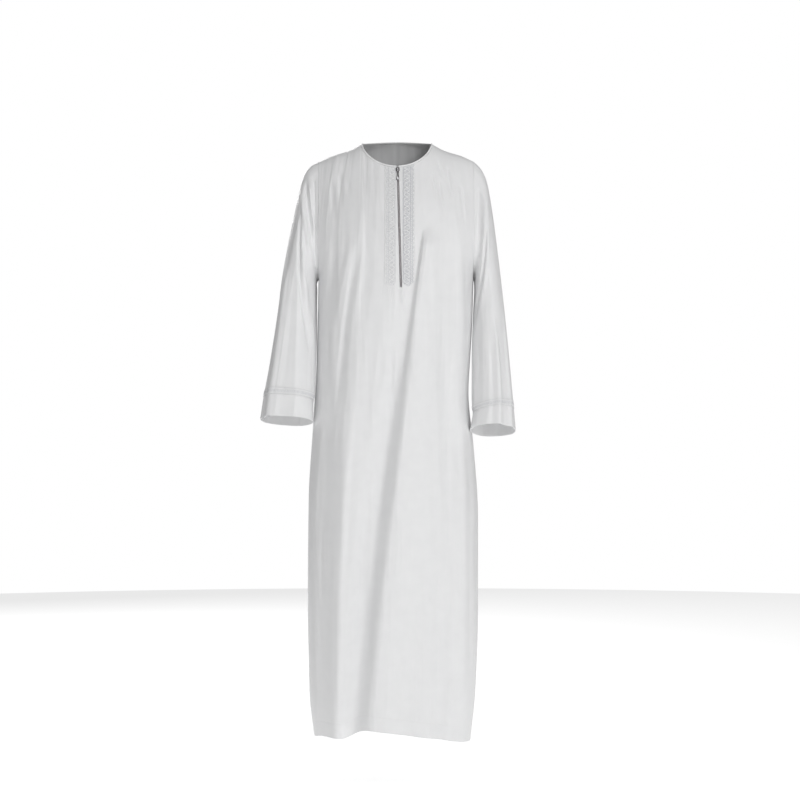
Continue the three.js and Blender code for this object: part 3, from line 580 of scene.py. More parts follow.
@dataclass
class ClothGrid:
    """Points of a piece of cloth with their outward directions."""

    points: np.ndarray
    normals: np.ndarray
    wrap: bool = False

    @classmethod
    def on(cls, path: ThreadPath) -> "ClothGrid":
        """A grid that was found as a path over the front or the back."""
        return cls(path.points, path.normals)

    def _round(self) -> np.ndarray:
        """The points, with the first column once more at the end if the grid wraps."""
        return np.concatenate([self.points, self.points[:, :1]], axis=1) if self.wrap else self.points

    def steps_across(self) -> np.ndarray:
        """Mean distance of each column line from the first, once more round if the grid wraps."""
        return running_total(gaps(self._round(), 1).mean(axis=0))

    def steps_down(self) -> np.ndarray:
        """Mean distance of each row from the top."""
        return running_total(gaps(self.points).mean(axis=1))

    def cut(self, open_quads: np.ndarray | None = None) -> dict[str, float | tuple[float, float]]:
        """The flat cut that the grid was made from: its widest and longest lines and its area.

        Args:
            open_quads: True for each quad that is left out.
        """
        points = self._round() * MM
        width = gaps(points, 1).sum(axis=1).max()
        length = gaps(points).sum(axis=0).max()
        diagonals = points[1:, 1:] - points[:-1, :-1], points[1:, :-1] - points[:-1, 1:]
        areas = np.linalg.norm(np.cross(*diagonals), axis=-1) / 2
        if open_quads is not None:
            areas = np.where(open_quads, 0, areas)
        flat = (round(float(width), 4), round(float(length), 4))
        return {"flat": flat, "area": round(min(float(areas.sum()), flat[0] * flat[1]), 6)}

    def part(self, first: float, last: float, rows: int) -> "ClothGrid":
        """A band of the grid between two rows, either of which may lie between lines.

        Args:
            first: The band's top row.
            last: The band's bottom row.
            rows: How many rows the band has.

        Returns:
            The band as a grid of its own.
        """
        places = np.linspace(first, last, rows)
        above = np.clip(np.floor(places).astype(int), 0, len(self.points) - 2)
        share = (places - above)[:, None, None]
        points, normals = (lerp(grid[above], grid[above + 1], share) for grid in (self.points, self.normals))
        return ClothGrid(points, unit(normals), self.wrap)

    def line_from_edge(
        self, distance: float, from_bottom: bool, columns: slice | np.ndarray = slice(None)
    ) -> ThreadPath:
        """A line that keeps one distance from the top or bottom edge.

        Args:
            distance: The distance along the cloth.
            from_bottom: Measures from the bottom edge instead of the top.
            columns: Which columns the line crosses.

        Returns:
            The line with the cloth's outward directions.
        """
        order = slice(None, None, -1) if from_bottom else slice(None)
        grids = self.points[order, columns], self.normals[order, columns]
        lengths = np.cumsum(gaps(grids[0]), axis=0)
        found = []
        for column in range(lengths.shape[1]):
            below = int(np.searchsorted(lengths[:, column], distance))
            start = lengths[below - 1, column] if below else 0.0
            share = (distance - start) / (lengths[below, column] - start)
            found.append([lerp(grid[below, column], grid[below + 1, column], share) for grid in grids])
        points, normals = np.array(found).swapaxes(0, 1)
        return ThreadPath(points, unit(normals), self.wrap)


def shown(name: str, data: bpy.types.ID) -> Piece:
    """A new object with its data, linked to the scene."""
    obj = bpy.data.objects.new(name, data)
    bpy.context.scene.collection.objects.link(obj)
    return obj


def smoothed(mesh: bpy.types.Mesh, angle: float) -> None:
    """Shades a mesh smooth, but for edges sharper than an angle in degrees."""
    mesh.shade_smooth()
    mesh.set_sharp_from_angle(angle=math.radians(angle))


def mesh_object(name: str, vertices: np.ndarray, faces: Sequence[Sequence[int]], smooth: bool = True) -> Piece:
    """A new mesh object at the origin.

    Args:
        name: The object's name.
        vertices: Its vertices in metres.
        faces: Its faces, as lists of vertex numbers.
        smooth: Whether it is shaded smooth.

    Returns:
        The object, linked to the scene.
    """
    mesh = bpy.data.meshes.new(name)
    mesh.from_pydata(np.asarray(vertices).tolist(), [], faces)
    if smooth:
        smoothed(mesh, 45)
    return shown(name, mesh)


def cloth_wall(
    name: str, grid: ClothGrid, thickness: float, lift: float = 0.0, open_quads: np.ndarray | None = None
) -> Piece:
    """A closed wall of cloth on a grid, with a UV map in metres along and down the cloth.

    Args:
        name: The object's name.
        grid: The cloth's points and outward directions.
        thickness: Distance between the outer and the inner face.
        lift: How far the outer face stands out from the points.
        open_quads: True for each quad that is left out.

    Returns:
        The wall.
    """
    rows, columns = grid.points.shape[:2]
    filled = np.ones((rows - 1, columns if grid.wrap else columns - 1), bool)
    if open_quads is not None:
        filled &= ~open_quads
    outer = grid.points + grid.normals * lift
    inner = grid.points + grid.normals * (lift - thickness)
    vertices = np.concatenate([outer.reshape(-1, 3), inner.reshape(-1, 3)]) * MM
    beside = np.pad(filled, 1)
    if grid.wrap:
        beside[1:-1, 0] = filled[:, -1]
        beside[1:-1, -1] = filled[:, 0]
    a, b, d, e = (0, 0), (0, 1), (1, 1), (1, 0)  # a quad's corners, by their steps down and across
    kinds = [
        (filled, ((a, 0), (e, 0), (d, 0), (b, 0))),
        (filled, ((a, 1), (b, 1), (d, 1), (e, 1))),
        (filled & ~beside[1:-1, :-2], ((e, 0), (a, 0), (a, 1), (e, 1))),
        (filled & ~beside[2:, 1:-1], ((d, 0), (e, 0), (e, 1), (d, 1))),
        (filled & ~beside[1:-1, 2:], ((b, 0), (d, 0), (d, 1), (b, 1))),
        (filled & ~beside[:-2, 1:-1], ((a, 0), (b, 0), (b, 1), (a, 1))),
    ]
    across, down = grid.steps_across() * MM, grid.steps_down() * MM
    faces, maps = [], []
    for mask, corners in kinds:
        row, column = np.nonzero(mask)
        numbers, places = [], []
        for (down_step, across_step), layer in corners:
            number = (row + down_step) * columns + (column + across_step) % columns
            numbers.append(number + layer * rows * columns)
            places.append(np.stack([across[column + across_step], -down[row + down_step]], axis=-1))
        faces.append(np.stack(numbers, axis=-1))
        maps.append(np.stack(places, axis=1))
    obj = mesh_object(name, vertices, np.concatenate(faces).tolist())
    layer = obj.data.uv_layers.new(name="cloth")
    layer.data.foreach_set("uv", np.concatenate(maps).astype(np.float32).ravel())
    return obj


def tube_mesh(name: str, sections: np.ndarray, closed: bool = False) -> Piece:
    """A solid through sections with the same number of corners, its faces turned outwards.

    Args:
        name: The object's name.
        sections: The corners of each section, in millimetres.
        closed: Whether the last section meets the first, in place of two caps.

    Returns:
        The solid.
    """
    numbers = np.arange(sections.shape[0] * sections.shape[1]).reshape(sections.shape[:2])
    start = numbers if closed else numbers[:-1]
    end = np.roll(numbers, -1, axis=0)[: len(start)]
    quads = [start, np.roll(start, -1, axis=1), np.roll(end, -1, axis=1), end]
    faces = np.stack(quads, axis=-1).reshape(-1, 4).tolist()
    if not closed:
        faces += [numbers[0, ::-1].tolist(), numbers[-1].tolist()]
    piece = mesh_object(name, sections.reshape(-1, 3) * MM, faces)
    bm = bmesh.new()
    bm.from_mesh(piece.data)
    bmesh.ops.recalc_face_normals(bm, faces=bm.faces)
    bm.to_mesh(piece.data)
    bm.free()
    return piece


# ---------------------------------------------------------------- shader nodes and materials


def fill(tree: Tree, node: bpy.types.Node, **inputs: object) -> None:
    """Fills the sockets of a node.

    Args:
        tree: The node tree.
        node: The node.
        **inputs: Values or sockets, by the socket's name with spaces as underscores, or in_0, in_1 by place.
    """
    for label, value in inputs.items():
        by_place = label.startswith("in_")
        socket = node.inputs[int(label.removeprefix("in_")) if by_place else label.replace("_", " ")]
        if isinstance(value, Socket):
            tree.links.new(value, socket)
        else:
            socket.default_value = value


def add_node(
    tree: Tree, kind: str, settings: dict[str, object] | None = None, **inputs: object
) -> bpy.types.Node:
    """Adds a node to a tree and fills its sockets.

    Args:
        tree: The node tree.
        kind: The node's Blender type.
        settings: Its properties.
        **inputs: Values or sockets, named as for fill.

    Returns:
        The node.
    """
    node = tree.nodes.new(kind)
    for label, value in (settings or {}).items():
        setattr(node, label, value)
    fill(tree, node, **inputs)
    return node


def calculate(tree: Tree, operation: str, *values: float | Socket) -> Socket:
    """Adds a Math node with its inputs in order and gives the socket of its result."""
    inputs = {f"in_{place}": value for place, value in enumerate(values)}
    return add_node(tree, "ShaderNodeMath", {"operation": operation}, **inputs).outputs[0]


def waves(tree: Tree, place: Socket, length: Socket, **inputs: float) -> Socket:
    """Adds a wave texture of slanting bands.

    Args:
        tree: The node tree.
        place: The coordinates.
        length: The length of one wave.
        **inputs: The texture's other values.

    Returns:
        The socket of its grey tone.
    """
    scale = calculate(tree, "DIVIDE", WAVE_PERIOD, length)
    settings = {"bands_direction": "DIAGONAL"}
    return add_node(tree, "ShaderNodeTexWave", settings, Vector=place, Scale=scale, **inputs).outputs["Fac"]


def noise(tree: Tree, place: Socket, scale: float | Socket, **inputs: float) -> Socket:
    """Adds a noise texture on coordinates and gives the socket of its grey tone."""
    return add_node(tree, "ShaderNodeTexNoise", Vector=place, Scale=scale, **inputs).outputs["Fac"]


def shader_group(
    name: str, inputs: dict[str, float | None], outputs: Sequence[str]
) -> tuple[Tree, bpy.types.NodeOutputs]:
    """Makes an empty shader node group.

    Args:
        name: The group's name.
        inputs: Each input's name and starting value, or None for a vector.
        outputs: The names of the outputs, all of them single values.

    Returns:
        The group's tree, and the sockets that bring its inputs in.
    """
    tree = bpy.data.node_groups.new(name, "ShaderNodeTree")
    for label, value in inputs.items():
        kind = "NodeSocketVector" if value is None else "NodeSocketFloat"
        socket = tree.interface.new_socket(label, in_out="INPUT", socket_type=kind)
        if value is not None:
            socket.default_value = value
    for label in outputs:
        tree.interface.new_socket(label, in_out="OUTPUT", socket_type="NodeSocketFloat")
    return tree, add_node(tree, "NodeGroupInput").outputs


def weave_group() -> Tree:
    """Fine satin floats with uneven yarns, as a height and as a tone.

    Returns:
        The group's tree.
    """
    inputs = {"Vector": None, "Yarn": 0.0004, "Slub": 0.02}
    tree, entry = shader_group("yarn weave", inputs, ["Height", "Tone"])
    floats = waves(tree, entry["Vector"], entry["Yarn"], Distortion=0.6, Detail=1.0)
    slubs = noise(tree, entry["Vector"], calculate(tree, "DIVIDE", 1.0, entry["Slub"]), Detail=3.0)
    height = calculate(tree, "MULTIPLY_ADD", floats, 0.35, slubs)
    add_node(tree, "NodeGroupOutput", Height=height, Tone=slubs)
    return tree


def wrinkle_group() -> Tree:
    """Faint wrinkles that hang down the cloth, much longer than wide, as a height.

    Returns:
        The group's tree.
    """
    tree, entry = shader_group("hanging wrinkles", {"Vector": None, "Width": 0.03}, ["Height"])
    longer = {"in_0": entry["Vector"], "in_1": (1.0, 0.11, 1.0)}
    drawn = add_node(tree, "ShaderNodeVectorMath", {"operation": "MULTIPLY"}, **longer).outputs["Vector"]
    scale = calculate(tree, "DIVIDE", 1.0, entry["Width"])
    add_node(tree, "NodeGroupOutput", Height=noise(tree, drawn, scale, Detail=2.0, Distortion=0.4))
    return tree


def twist_group() -> Tree:
    """The plies of an embroidery thread, as a height and as a tone.

    Returns:
        The group's tree.
    """
    tree, entry = shader_group("thread twist", {"Vector": None, "Ply": 0.0005}, ["Height", "Tone"])
    plies = waves(tree, entry["Vector"], entry["Ply"])
    patches = noise(tree, entry["Vector"], 160.0, Detail=2.0)
    add_node(tree, "NodeGroupOutput", Height=plies, Tone=patches)
    return tree


@dataclass
class Dyehouse:
    """The shared shader groups, which every finish uses."""

    weave: Tree = field(default_factory=weave_group)
    wrinkle: Tree = field(default_factory=wrinkle_group)
    twist: Tree = field(default_factory=twist_group)


class Mix:
    """A material that is mixed round one Principled shader."""

    def __init__(self, name: str) -> None:
        """Makes the material.

        Args:
            name: The material's name.
        """
        self.material = bpy.data.materials.new(name)
        self.material.use_nodes = True
        self.tree = self.material.node_tree
        self.shader = self.tree.nodes["Principled BSDF"]

    def place(self, kind: str) -> Socket:
        """The coordinates of one kind, UV or Object."""
        return add_node(self.tree, "ShaderNodeTexCoord").outputs[kind]

    def group(self, tree: Tree, **inputs: float | Socket) -> bpy.types.NodeOutputs:
        """Adds a shared group with its inputs and gives its outputs."""
        return add_node(self.tree, "ShaderNodeGroup", {"node_tree": tree}, **inputs).outputs

    def colours(self, tone: Socket, stops: tuple[float, float], pair: tuple[Colour, Colour]) -> None:
        """Colours the shader by a tone.

        Args:
            tone: The tone.
            stops: The tones at which the first colour ends and the second begins.
            pair: The two colours.
        """
        ramp = add_node(self.tree, "ShaderNodeValToRGB", Fac=tone)
        for element, stop, colour in zip(ramp.color_ramp.elements, stops, pair):
            element.position = stop
            element.color = (*colour, 1)
        self.set(Base_Color=ramp.outputs["Color"])

    def gloss(self, tone: Socket, roughness: tuple[float, float]) -> None:
        """Sets the shader's roughness by a tone.

        Args:
            tone: The tone.
            roughness: The roughness at a low tone and at a high one.
        """
        low, high = roughness
        span = {"From_Min": 0.3, "From_Max": 0.7, "To_Min": low, "To_Max": high}
        self.set(Roughness=add_node(self.tree, "ShaderNodeMapRange", Value=tone, **span).outputs["Result"])

    def bump(self, height: Socket, strength: float, distance: float, **under: Socket) -> Socket:
        """Adds a relief, over the normal of another if there is one, and gives its own normal."""
        relief = {"Strength": strength, "Distance": distance, "Height": height}
        return add_node(self.tree, "ShaderNodeBump", **relief, **under).outputs["Normal"]

    def set(self, **inputs: object) -> None:
        """Sets the shader's own inputs, named as for fill."""
        fill(self.tree, self.shader, **inputs)


@dataclass(frozen=True)
class ClothFinish:
    """Woven cloth: its two close colours, its gloss and its yarns."""

    name: str
    dark: Colour
    light: Colour
    roughness: tuple[float, float]
    sheen: float
    yarn: float
    slub: float
    relief: float
    wrinkle_width: float = 0.044
    wrinkle_relief: float = 0.0
    stops: tuple[float, float] = (0.3, 0.7)
    relief_strength: float = 0.35
    sheen_roughness: float = 0.35
    specular: float = 0.36

    def material(self, dyehouse: Dyehouse) -> Material:
        """Mixes the cloth's material on its own UV map.

        Args:
            dyehouse: The shared shader groups.

        Returns:
            The material.
        """
        mix = Mix(self.name)
        place = mix.place("UV")
        weave = mix.group(dyehouse.weave, Vector=place, Yarn=self.yarn, Slub=self.slub)
        mix.colours(weave["Tone"], self.stops, (self.dark, self.light))
        mix.gloss(weave["Tone"], self.roughness)
        under = {}
        if self.wrinkle_relief:
            wrinkles = mix.group(dyehouse.wrinkle, Vector=place, Width=self.wrinkle_width)
            under["Normal"] = mix.bump(wrinkles["Height"], 1.0, self.wrinkle_relief)
        mix.set(
            Normal=mix.bump(weave["Height"], self.relief_strength, self.relief, **under),
            Sheen_Weight=self.sheen,
            Sheen_Roughness=self.sheen_roughness,
            Specular_IOR_Level=self.specular,
        )
        return mix.material


@dataclass(frozen=True)
class ThreadFinish:
    """Embroidery or sewing thread with its lustre."""

    name: str
    dark: Colour
    light: Colour
    roughness: float
    ply: float = 0.0005
    stops: tuple[float, float] = (0.35, 0.65)
    relief: float = 0.0001
    relief_strength: float = 0.3
    sheen: float = 0.1

    def material(self, dyehouse: Dyehouse) -> Material:
        """Mixes the thread's material on Object coordinates.

        Args:
            dyehouse: The shared shader groups.

        Returns:
            The material.
        """
        mix = Mix(self.name)
        twist = mix.group(dyehouse.twist, Vector=mix.place("Object"), Ply=self.ply)
        mix.colours(twist["Tone"], self.stops, (self.dark, self.light))
        relief = mix.bump(twist["Height"], self.relief_strength, self.relief)
        mix.set(Normal=relief, Roughness=self.roughness, Sheen_Weight=self.sheen)
        return mix.material


@dataclass(frozen=True)
class MetalFinish:
    """Plated metal with fine scuffs."""

    name: str
    colour: Colour
    worn: Colour
    roughness: tuple[float, float]
    metallic: float = 1.0
    scuffs: float = 700.0
    stops: tuple[float, float] = (0.45, 0.75)

    def material(self) -> Material:
        """Mixes the metal's material on Object coordinates.

        Returns:
            The material.
        """
        mix = Mix(self.name)
        tone = noise(mix.tree, mix.place("Object"), self.scuffs, Detail=4.0)
        mix.colours(tone, self.stops, (self.colour, self.worn))
        mix.gloss(tone, self.roughness)
        mix.set(Metallic=self.metallic)
        return mix.material


SATIN = ClothFinish(
    "white satin", (0.835, 0.837, 0.842), (0.856, 0.858, 0.862), (0.4, 0.5), 0.15, 0.0004, 0.03, 0.00008,
    wrinkle_relief=0.0055,
)
BINDING_SATIN = replace(SATIN, name="binding satin", light=(0.9, 0.9, 0.9), slub=0.008)
GROUND = ClothFinish(
    "embroidery ground", (0.66, 0.665, 0.68), (0.8, 0.805, 0.815), (0.32, 0.5), 0.1, 0.0016, 0.0022, 0.0003
)
PALE_GROUND = replace(
    GROUND, name="pale embroidery ground", dark=(0.76, 0.765, 0.775), light=(0.84, 0.843, 0.85)
)
TAPE = ClothFinish("zip tape", (0.7, 0.68, 0.69), (0.78, 0.77, 0.77), (0.7, 0.85), 0.05, 0.0009, 0.01, 0.0002)
WHITE_THREAD = ThreadFinish("white thread", (0.9, 0.9, 0.9), (0.95, 0.95, 0.95), 0.28)
SILVER_THREAD = ThreadFinish("silver-grey thread", (0.44, 0.45, 0.48), (0.6, 0.61, 0.64), 0.28)
PALE_SILVER_THREAD = ThreadFinish("pale silver thread", (0.58, 0.585, 0.6), (0.72, 0.725, 0.74), 0.28)
SEWING_THREAD = ThreadFinish("sewing thread", (0.74, 0.74, 0.75), (0.82, 0.82, 0.82), 0.5)
TEETH = MetalFinish("mauve-grey zip teeth", (0.28, 0.24, 0.26), (0.42, 0.38, 0.4), (0.3, 0.45), 0.35)
NICKEL = MetalFinish("dark nickel", (0.32, 0.31, 0.32), (0.55, 0.55, 0.56), (0.2, 0.36))
BRIGHT_NICKEL = MetalFinish("bright nickel", (0.62, 0.62, 0.64), (0.8, 0.8, 0.81), (0.16, 0.28))


# ---------------------------------------------------------------- stitches


@dataclass(frozen=True)
class StitchStyle:
    """One kind of stitch: its spacing, its thread, and how it lies across its line."""

    pitch: float
    length: float
    width: float
    height: float
    slant: float = 0.0
    lift: float = 0.0
    unevenness: float = 0.1


TOPSTITCH = StitchStyle(pitch=3.2, length=2.5, width=0.45, height=0.3, lift=0.02, unevenness=0.06)
CUFF_TOPSTITCH = replace(TOPSTITCH, pitch=3.0, length=2.3)


class StitchMaker:
    """Sews stitches along lines on the cloth, with one Geometry Nodes tree for all of them."""

    lengths = ("Pitch", "Length", "Width", "Height", "Lift")
    shares = ("Slant", "Unevenness")

    def __init__(self) -> None:
        """Builds the tree."""
        self.tree = bpy.data.node_groups.new("stitches along a line", "GeometryNodeTree")
        kinds = {"Geometry": "Geometry"} | dict.fromkeys(self.lengths + self.shares, "Float")
        kinds |= {"Seed": "Int", "Material": "Material"}
        for label, kind in kinds.items():
            self.tree.interface.new_socket(label, in_out="INPUT", socket_type=f"NodeSocket{kind}")
        self.tree.interface.new_socket("Geometry", in_out="OUTPUT", socket_type="NodeSocketGeometry")
        self._fill()

    def _fill(self) -> None:
        """Places the tree's nodes: lines to points, a thread on each point, real meshes, a material."""
        tree = self.tree
        entry = add_node(tree, "NodeGroupInput").outputs
        lines = add_node(tree, "GeometryNodeMeshToCurve", Mesh=entry["Geometry"]).outputs["Curve"]
        by_length = {"mode": "LENGTH"}
        points = add_node(tree, "GeometryNodeResampleCurve", by_length, Curve=lines, Length=entry["Pitch"])
        vectors = {"data_type": "FLOAT_VECTOR"}
        stored = add_node(tree, "GeometryNodeInputNamedAttribute", vectors, Name="outward")
        outward = stored.outputs["Attribute"]
        by_number = {"operation": "SCALE"}
        rise = add_node(tree, "ShaderNodeVectorMath", by_number, in_0=outward, Scale=entry["Lift"])
        raised = add_node(
            tree, "GeometryNodeSetPosition", Geometry=points.outputs["Curve"], Offset=rise.outputs["Vector"]
        )
        laid = add_node(
            tree,
            "FunctionNodeAxesToRotation",
            {"primary_axis": "Z", "secondary_axis": "X"},
            Primary_Axis=outward,
            Secondary_Axis=add_node(tree, "GeometryNodeInputTangent").outputs["Tangent"],
        )
        chance = add_node(
            tree,
            "FunctionNodeRandomValue",
            {"data_type": "FLOAT"},
            in_2=calculate(tree, "SUBTRACT", 1.0, entry["Unevenness"]),
            in_3=calculate(tree, "ADD", 1.0, entry["Unevenness"]),
            Seed=entry["Seed"],
        )
        uneven = chance.outputs[1]
        turn = add_node(tree, "ShaderNodeCombineXYZ", Z=calculate(tree, "MULTIPLY", entry["Slant"], uneven))
        euler = add_node(tree, "FunctionNodeEulerToRotation", Euler=turn.outputs["Vector"])
        turned = add_node(
            tree,
            "FunctionNodeRotateRotation",
            {"rotation_space": "LOCAL"},
            Rotation=laid.outputs["Rotation"],
            Rotate_By=euler.outputs["Rotation"],
        )
        length = calculate(tree, "MULTIPLY", entry["Length"], uneven)
        size = add_node(tree, "ShaderNodeCombineXYZ", X=length, Y=entry["Width"], Z=entry["Height"])
        thread = add_node(tree, "GeometryNodeMeshUVSphere", Segments=6, Rings=4, Radius=0.5)
        sewn = add_node(
            tree,
            "GeometryNodeInstanceOnPoints",
            Points=raised.outputs["Geometry"],
            Instance=thread.outputs["Mesh"],
            Rotation=turned.outputs["Rotation"],
            Scale=size.outputs["Vector"],
        )
        real = add_node(tree, "GeometryNodeRealizeInstances", Geometry=sewn.outputs["Instances"])
        smooth = add_node(tree, "GeometryNodeSetShadeSmooth", Geometry=real.outputs["Geometry"])
        dressed = add_node(
            tree, "GeometryNodeSetMaterial", Geometry=smooth.outputs["Geometry"], Material=entry["Material"]
        )
        add_node(tree, "NodeGroupOutput", Geometry=dressed.outputs["Geometry"])

    def sew(
        self, name: str, paths: Sequence[ThreadPath], style: StitchStyle, material: Material, seed: int
    ) -> Piece:
        """Sews one kind of stitch along lines.

        Args:
            name: The name of the finished piece.
            paths: The lines.
            style: The stitch.
            material: The thread's material.
            seed: Fixes the unevenness.

        Returns:
            The stitches as one plain mesh.
        """
        guide = self._guide(f"{name}_guide", paths)
        modifier = guide.modifiers.new("stitches", "NODES")
        modifier.node_group = self.tree
        values = {label: getattr(style, label.lower()) * MM for label in self.lengths}
        values |= {"Slant": math.radians(style.slant), "Unevenness": style.unevenness}
        values |= {"Seed": seed, "Material": material}
        for item in self.tree.interface.items_tree:
            if item.name in values:
                modifier[item.identifier] = values[item.name]
        evaluated = guide.evaluated_get(bpy.context.evaluated_depsgraph_get())
        mesh = bpy.data.meshes.new_from_object(evaluated)
        mesh.name = name
        bpy.data.objects.remove(guide)
        return shown(name, mesh)

    @staticmethod
    def _guide(name: str, paths: Sequence[ThreadPath]) -> Piece:
        """Lays the lines out as a mesh of edges that carries the cloth's outward directions.

        Args:
            name: The mesh's name.
            paths: The lines.

        Returns:
            The mesh object.
        """
        edges = []
        start = 0
        for path in paths:
            end = start + len(path.points)
            edges += [(i, i + 1) for i in range(start, end - 1)]
            if path.closed:
                edges.append((end - 1, start))
            start = end
        mesh = bpy.data.meshes.new(name)
        points = np.concatenate([path.points for path in paths]) * MM
        mesh.from_pydata(points.tolist(), edges, [])
        normals = np.concatenate([path.normals for path in paths])
        outward = mesh.attributes.new("outward", "FLOAT_VECTOR", "POINT")
        outward.data.foreach_set("vector", normals.astype(np.float32).ravel())
        return shown(name, mesh)


def joined(name: str, pieces: Sequence[Piece]) -> Piece:
    """Several meshes as one object, each part with its own material.

    Args:
        name: The name of the joined piece.
        pieces: The meshes, which are used up.

    Returns:
        The joined piece.
    """
    with bpy.context.temp_override(active_object=pieces[0], selected_editable_objects=list(pieces)):
        bpy.ops.object.join()
    pieces[0].name = name
    pieces[0].data.name = name
    return pieces[0]


def dress(
    piece: Piece, body: str, slot: str, nodes: Sequence[str] = (), material: Material | None = None
) -> Piece:
    """Gives a finished piece its material, its body, its slot and the nodes that it stands for.

    Args:
        piece: The finished piece.
        body: The body that it moves with.
        slot: The record's material slot.
        nodes: The nodes of the frame that it replaces.
        material: Its material, if it has none yet.

    Returns:
        The piece.
    """
    if material is not None:
        piece.data.materials.clear()
        piece.data.materials.append(material)
    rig.ride(piece, body)
    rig.slot(piece, slot)
    if nodes:
        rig.replaces(piece, *nodes)
    log.info("%s: %d faces", piece.name, len(piece.data.polygons))
    return piece


@dataclass(frozen=True)
class Workroom:
    """What every piece is made with: the stitch maker and the materials."""

    stitches: StitchMaker
    satin: Material
    binding: Material
    ground: Material
    pale_ground: Material
    tape: Material
    white: Material
    silver: Material
    pale_silver: Material
    sewing: Material
    teeth: Material
    nickel: Material
    bright: Material

    @classmethod
    def opened(cls) -> "Workroom":
        """Opens a workroom with all its materials mixed.

        Returns:
            The workroom.
        """
        dyehouse = Dyehouse()
        return cls(
            stitches=StitchMaker(),
            satin=SATIN.material(dyehouse),
            binding=BINDING_SATIN.material(dyehouse),
            ground=GROUND.material(dyehouse),
            pale_ground=PALE_GROUND.material(dyehouse),
            tape=TAPE.material(dyehouse),
            white=WHITE_THREAD.material(dyehouse),
            silver=SILVER_THREAD.material(dyehouse),
            pale_silver=PALE_SILVER_THREAD.material(dyehouse),
            sewing=SEWING_THREAD.material(dyehouse),
            teeth=TEETH.material(),
            nickel=NICKEL.material(),
            bright=BRIGHT_NICKEL.material(),
        )


# ---------------------------------------------------------------- front and back panels


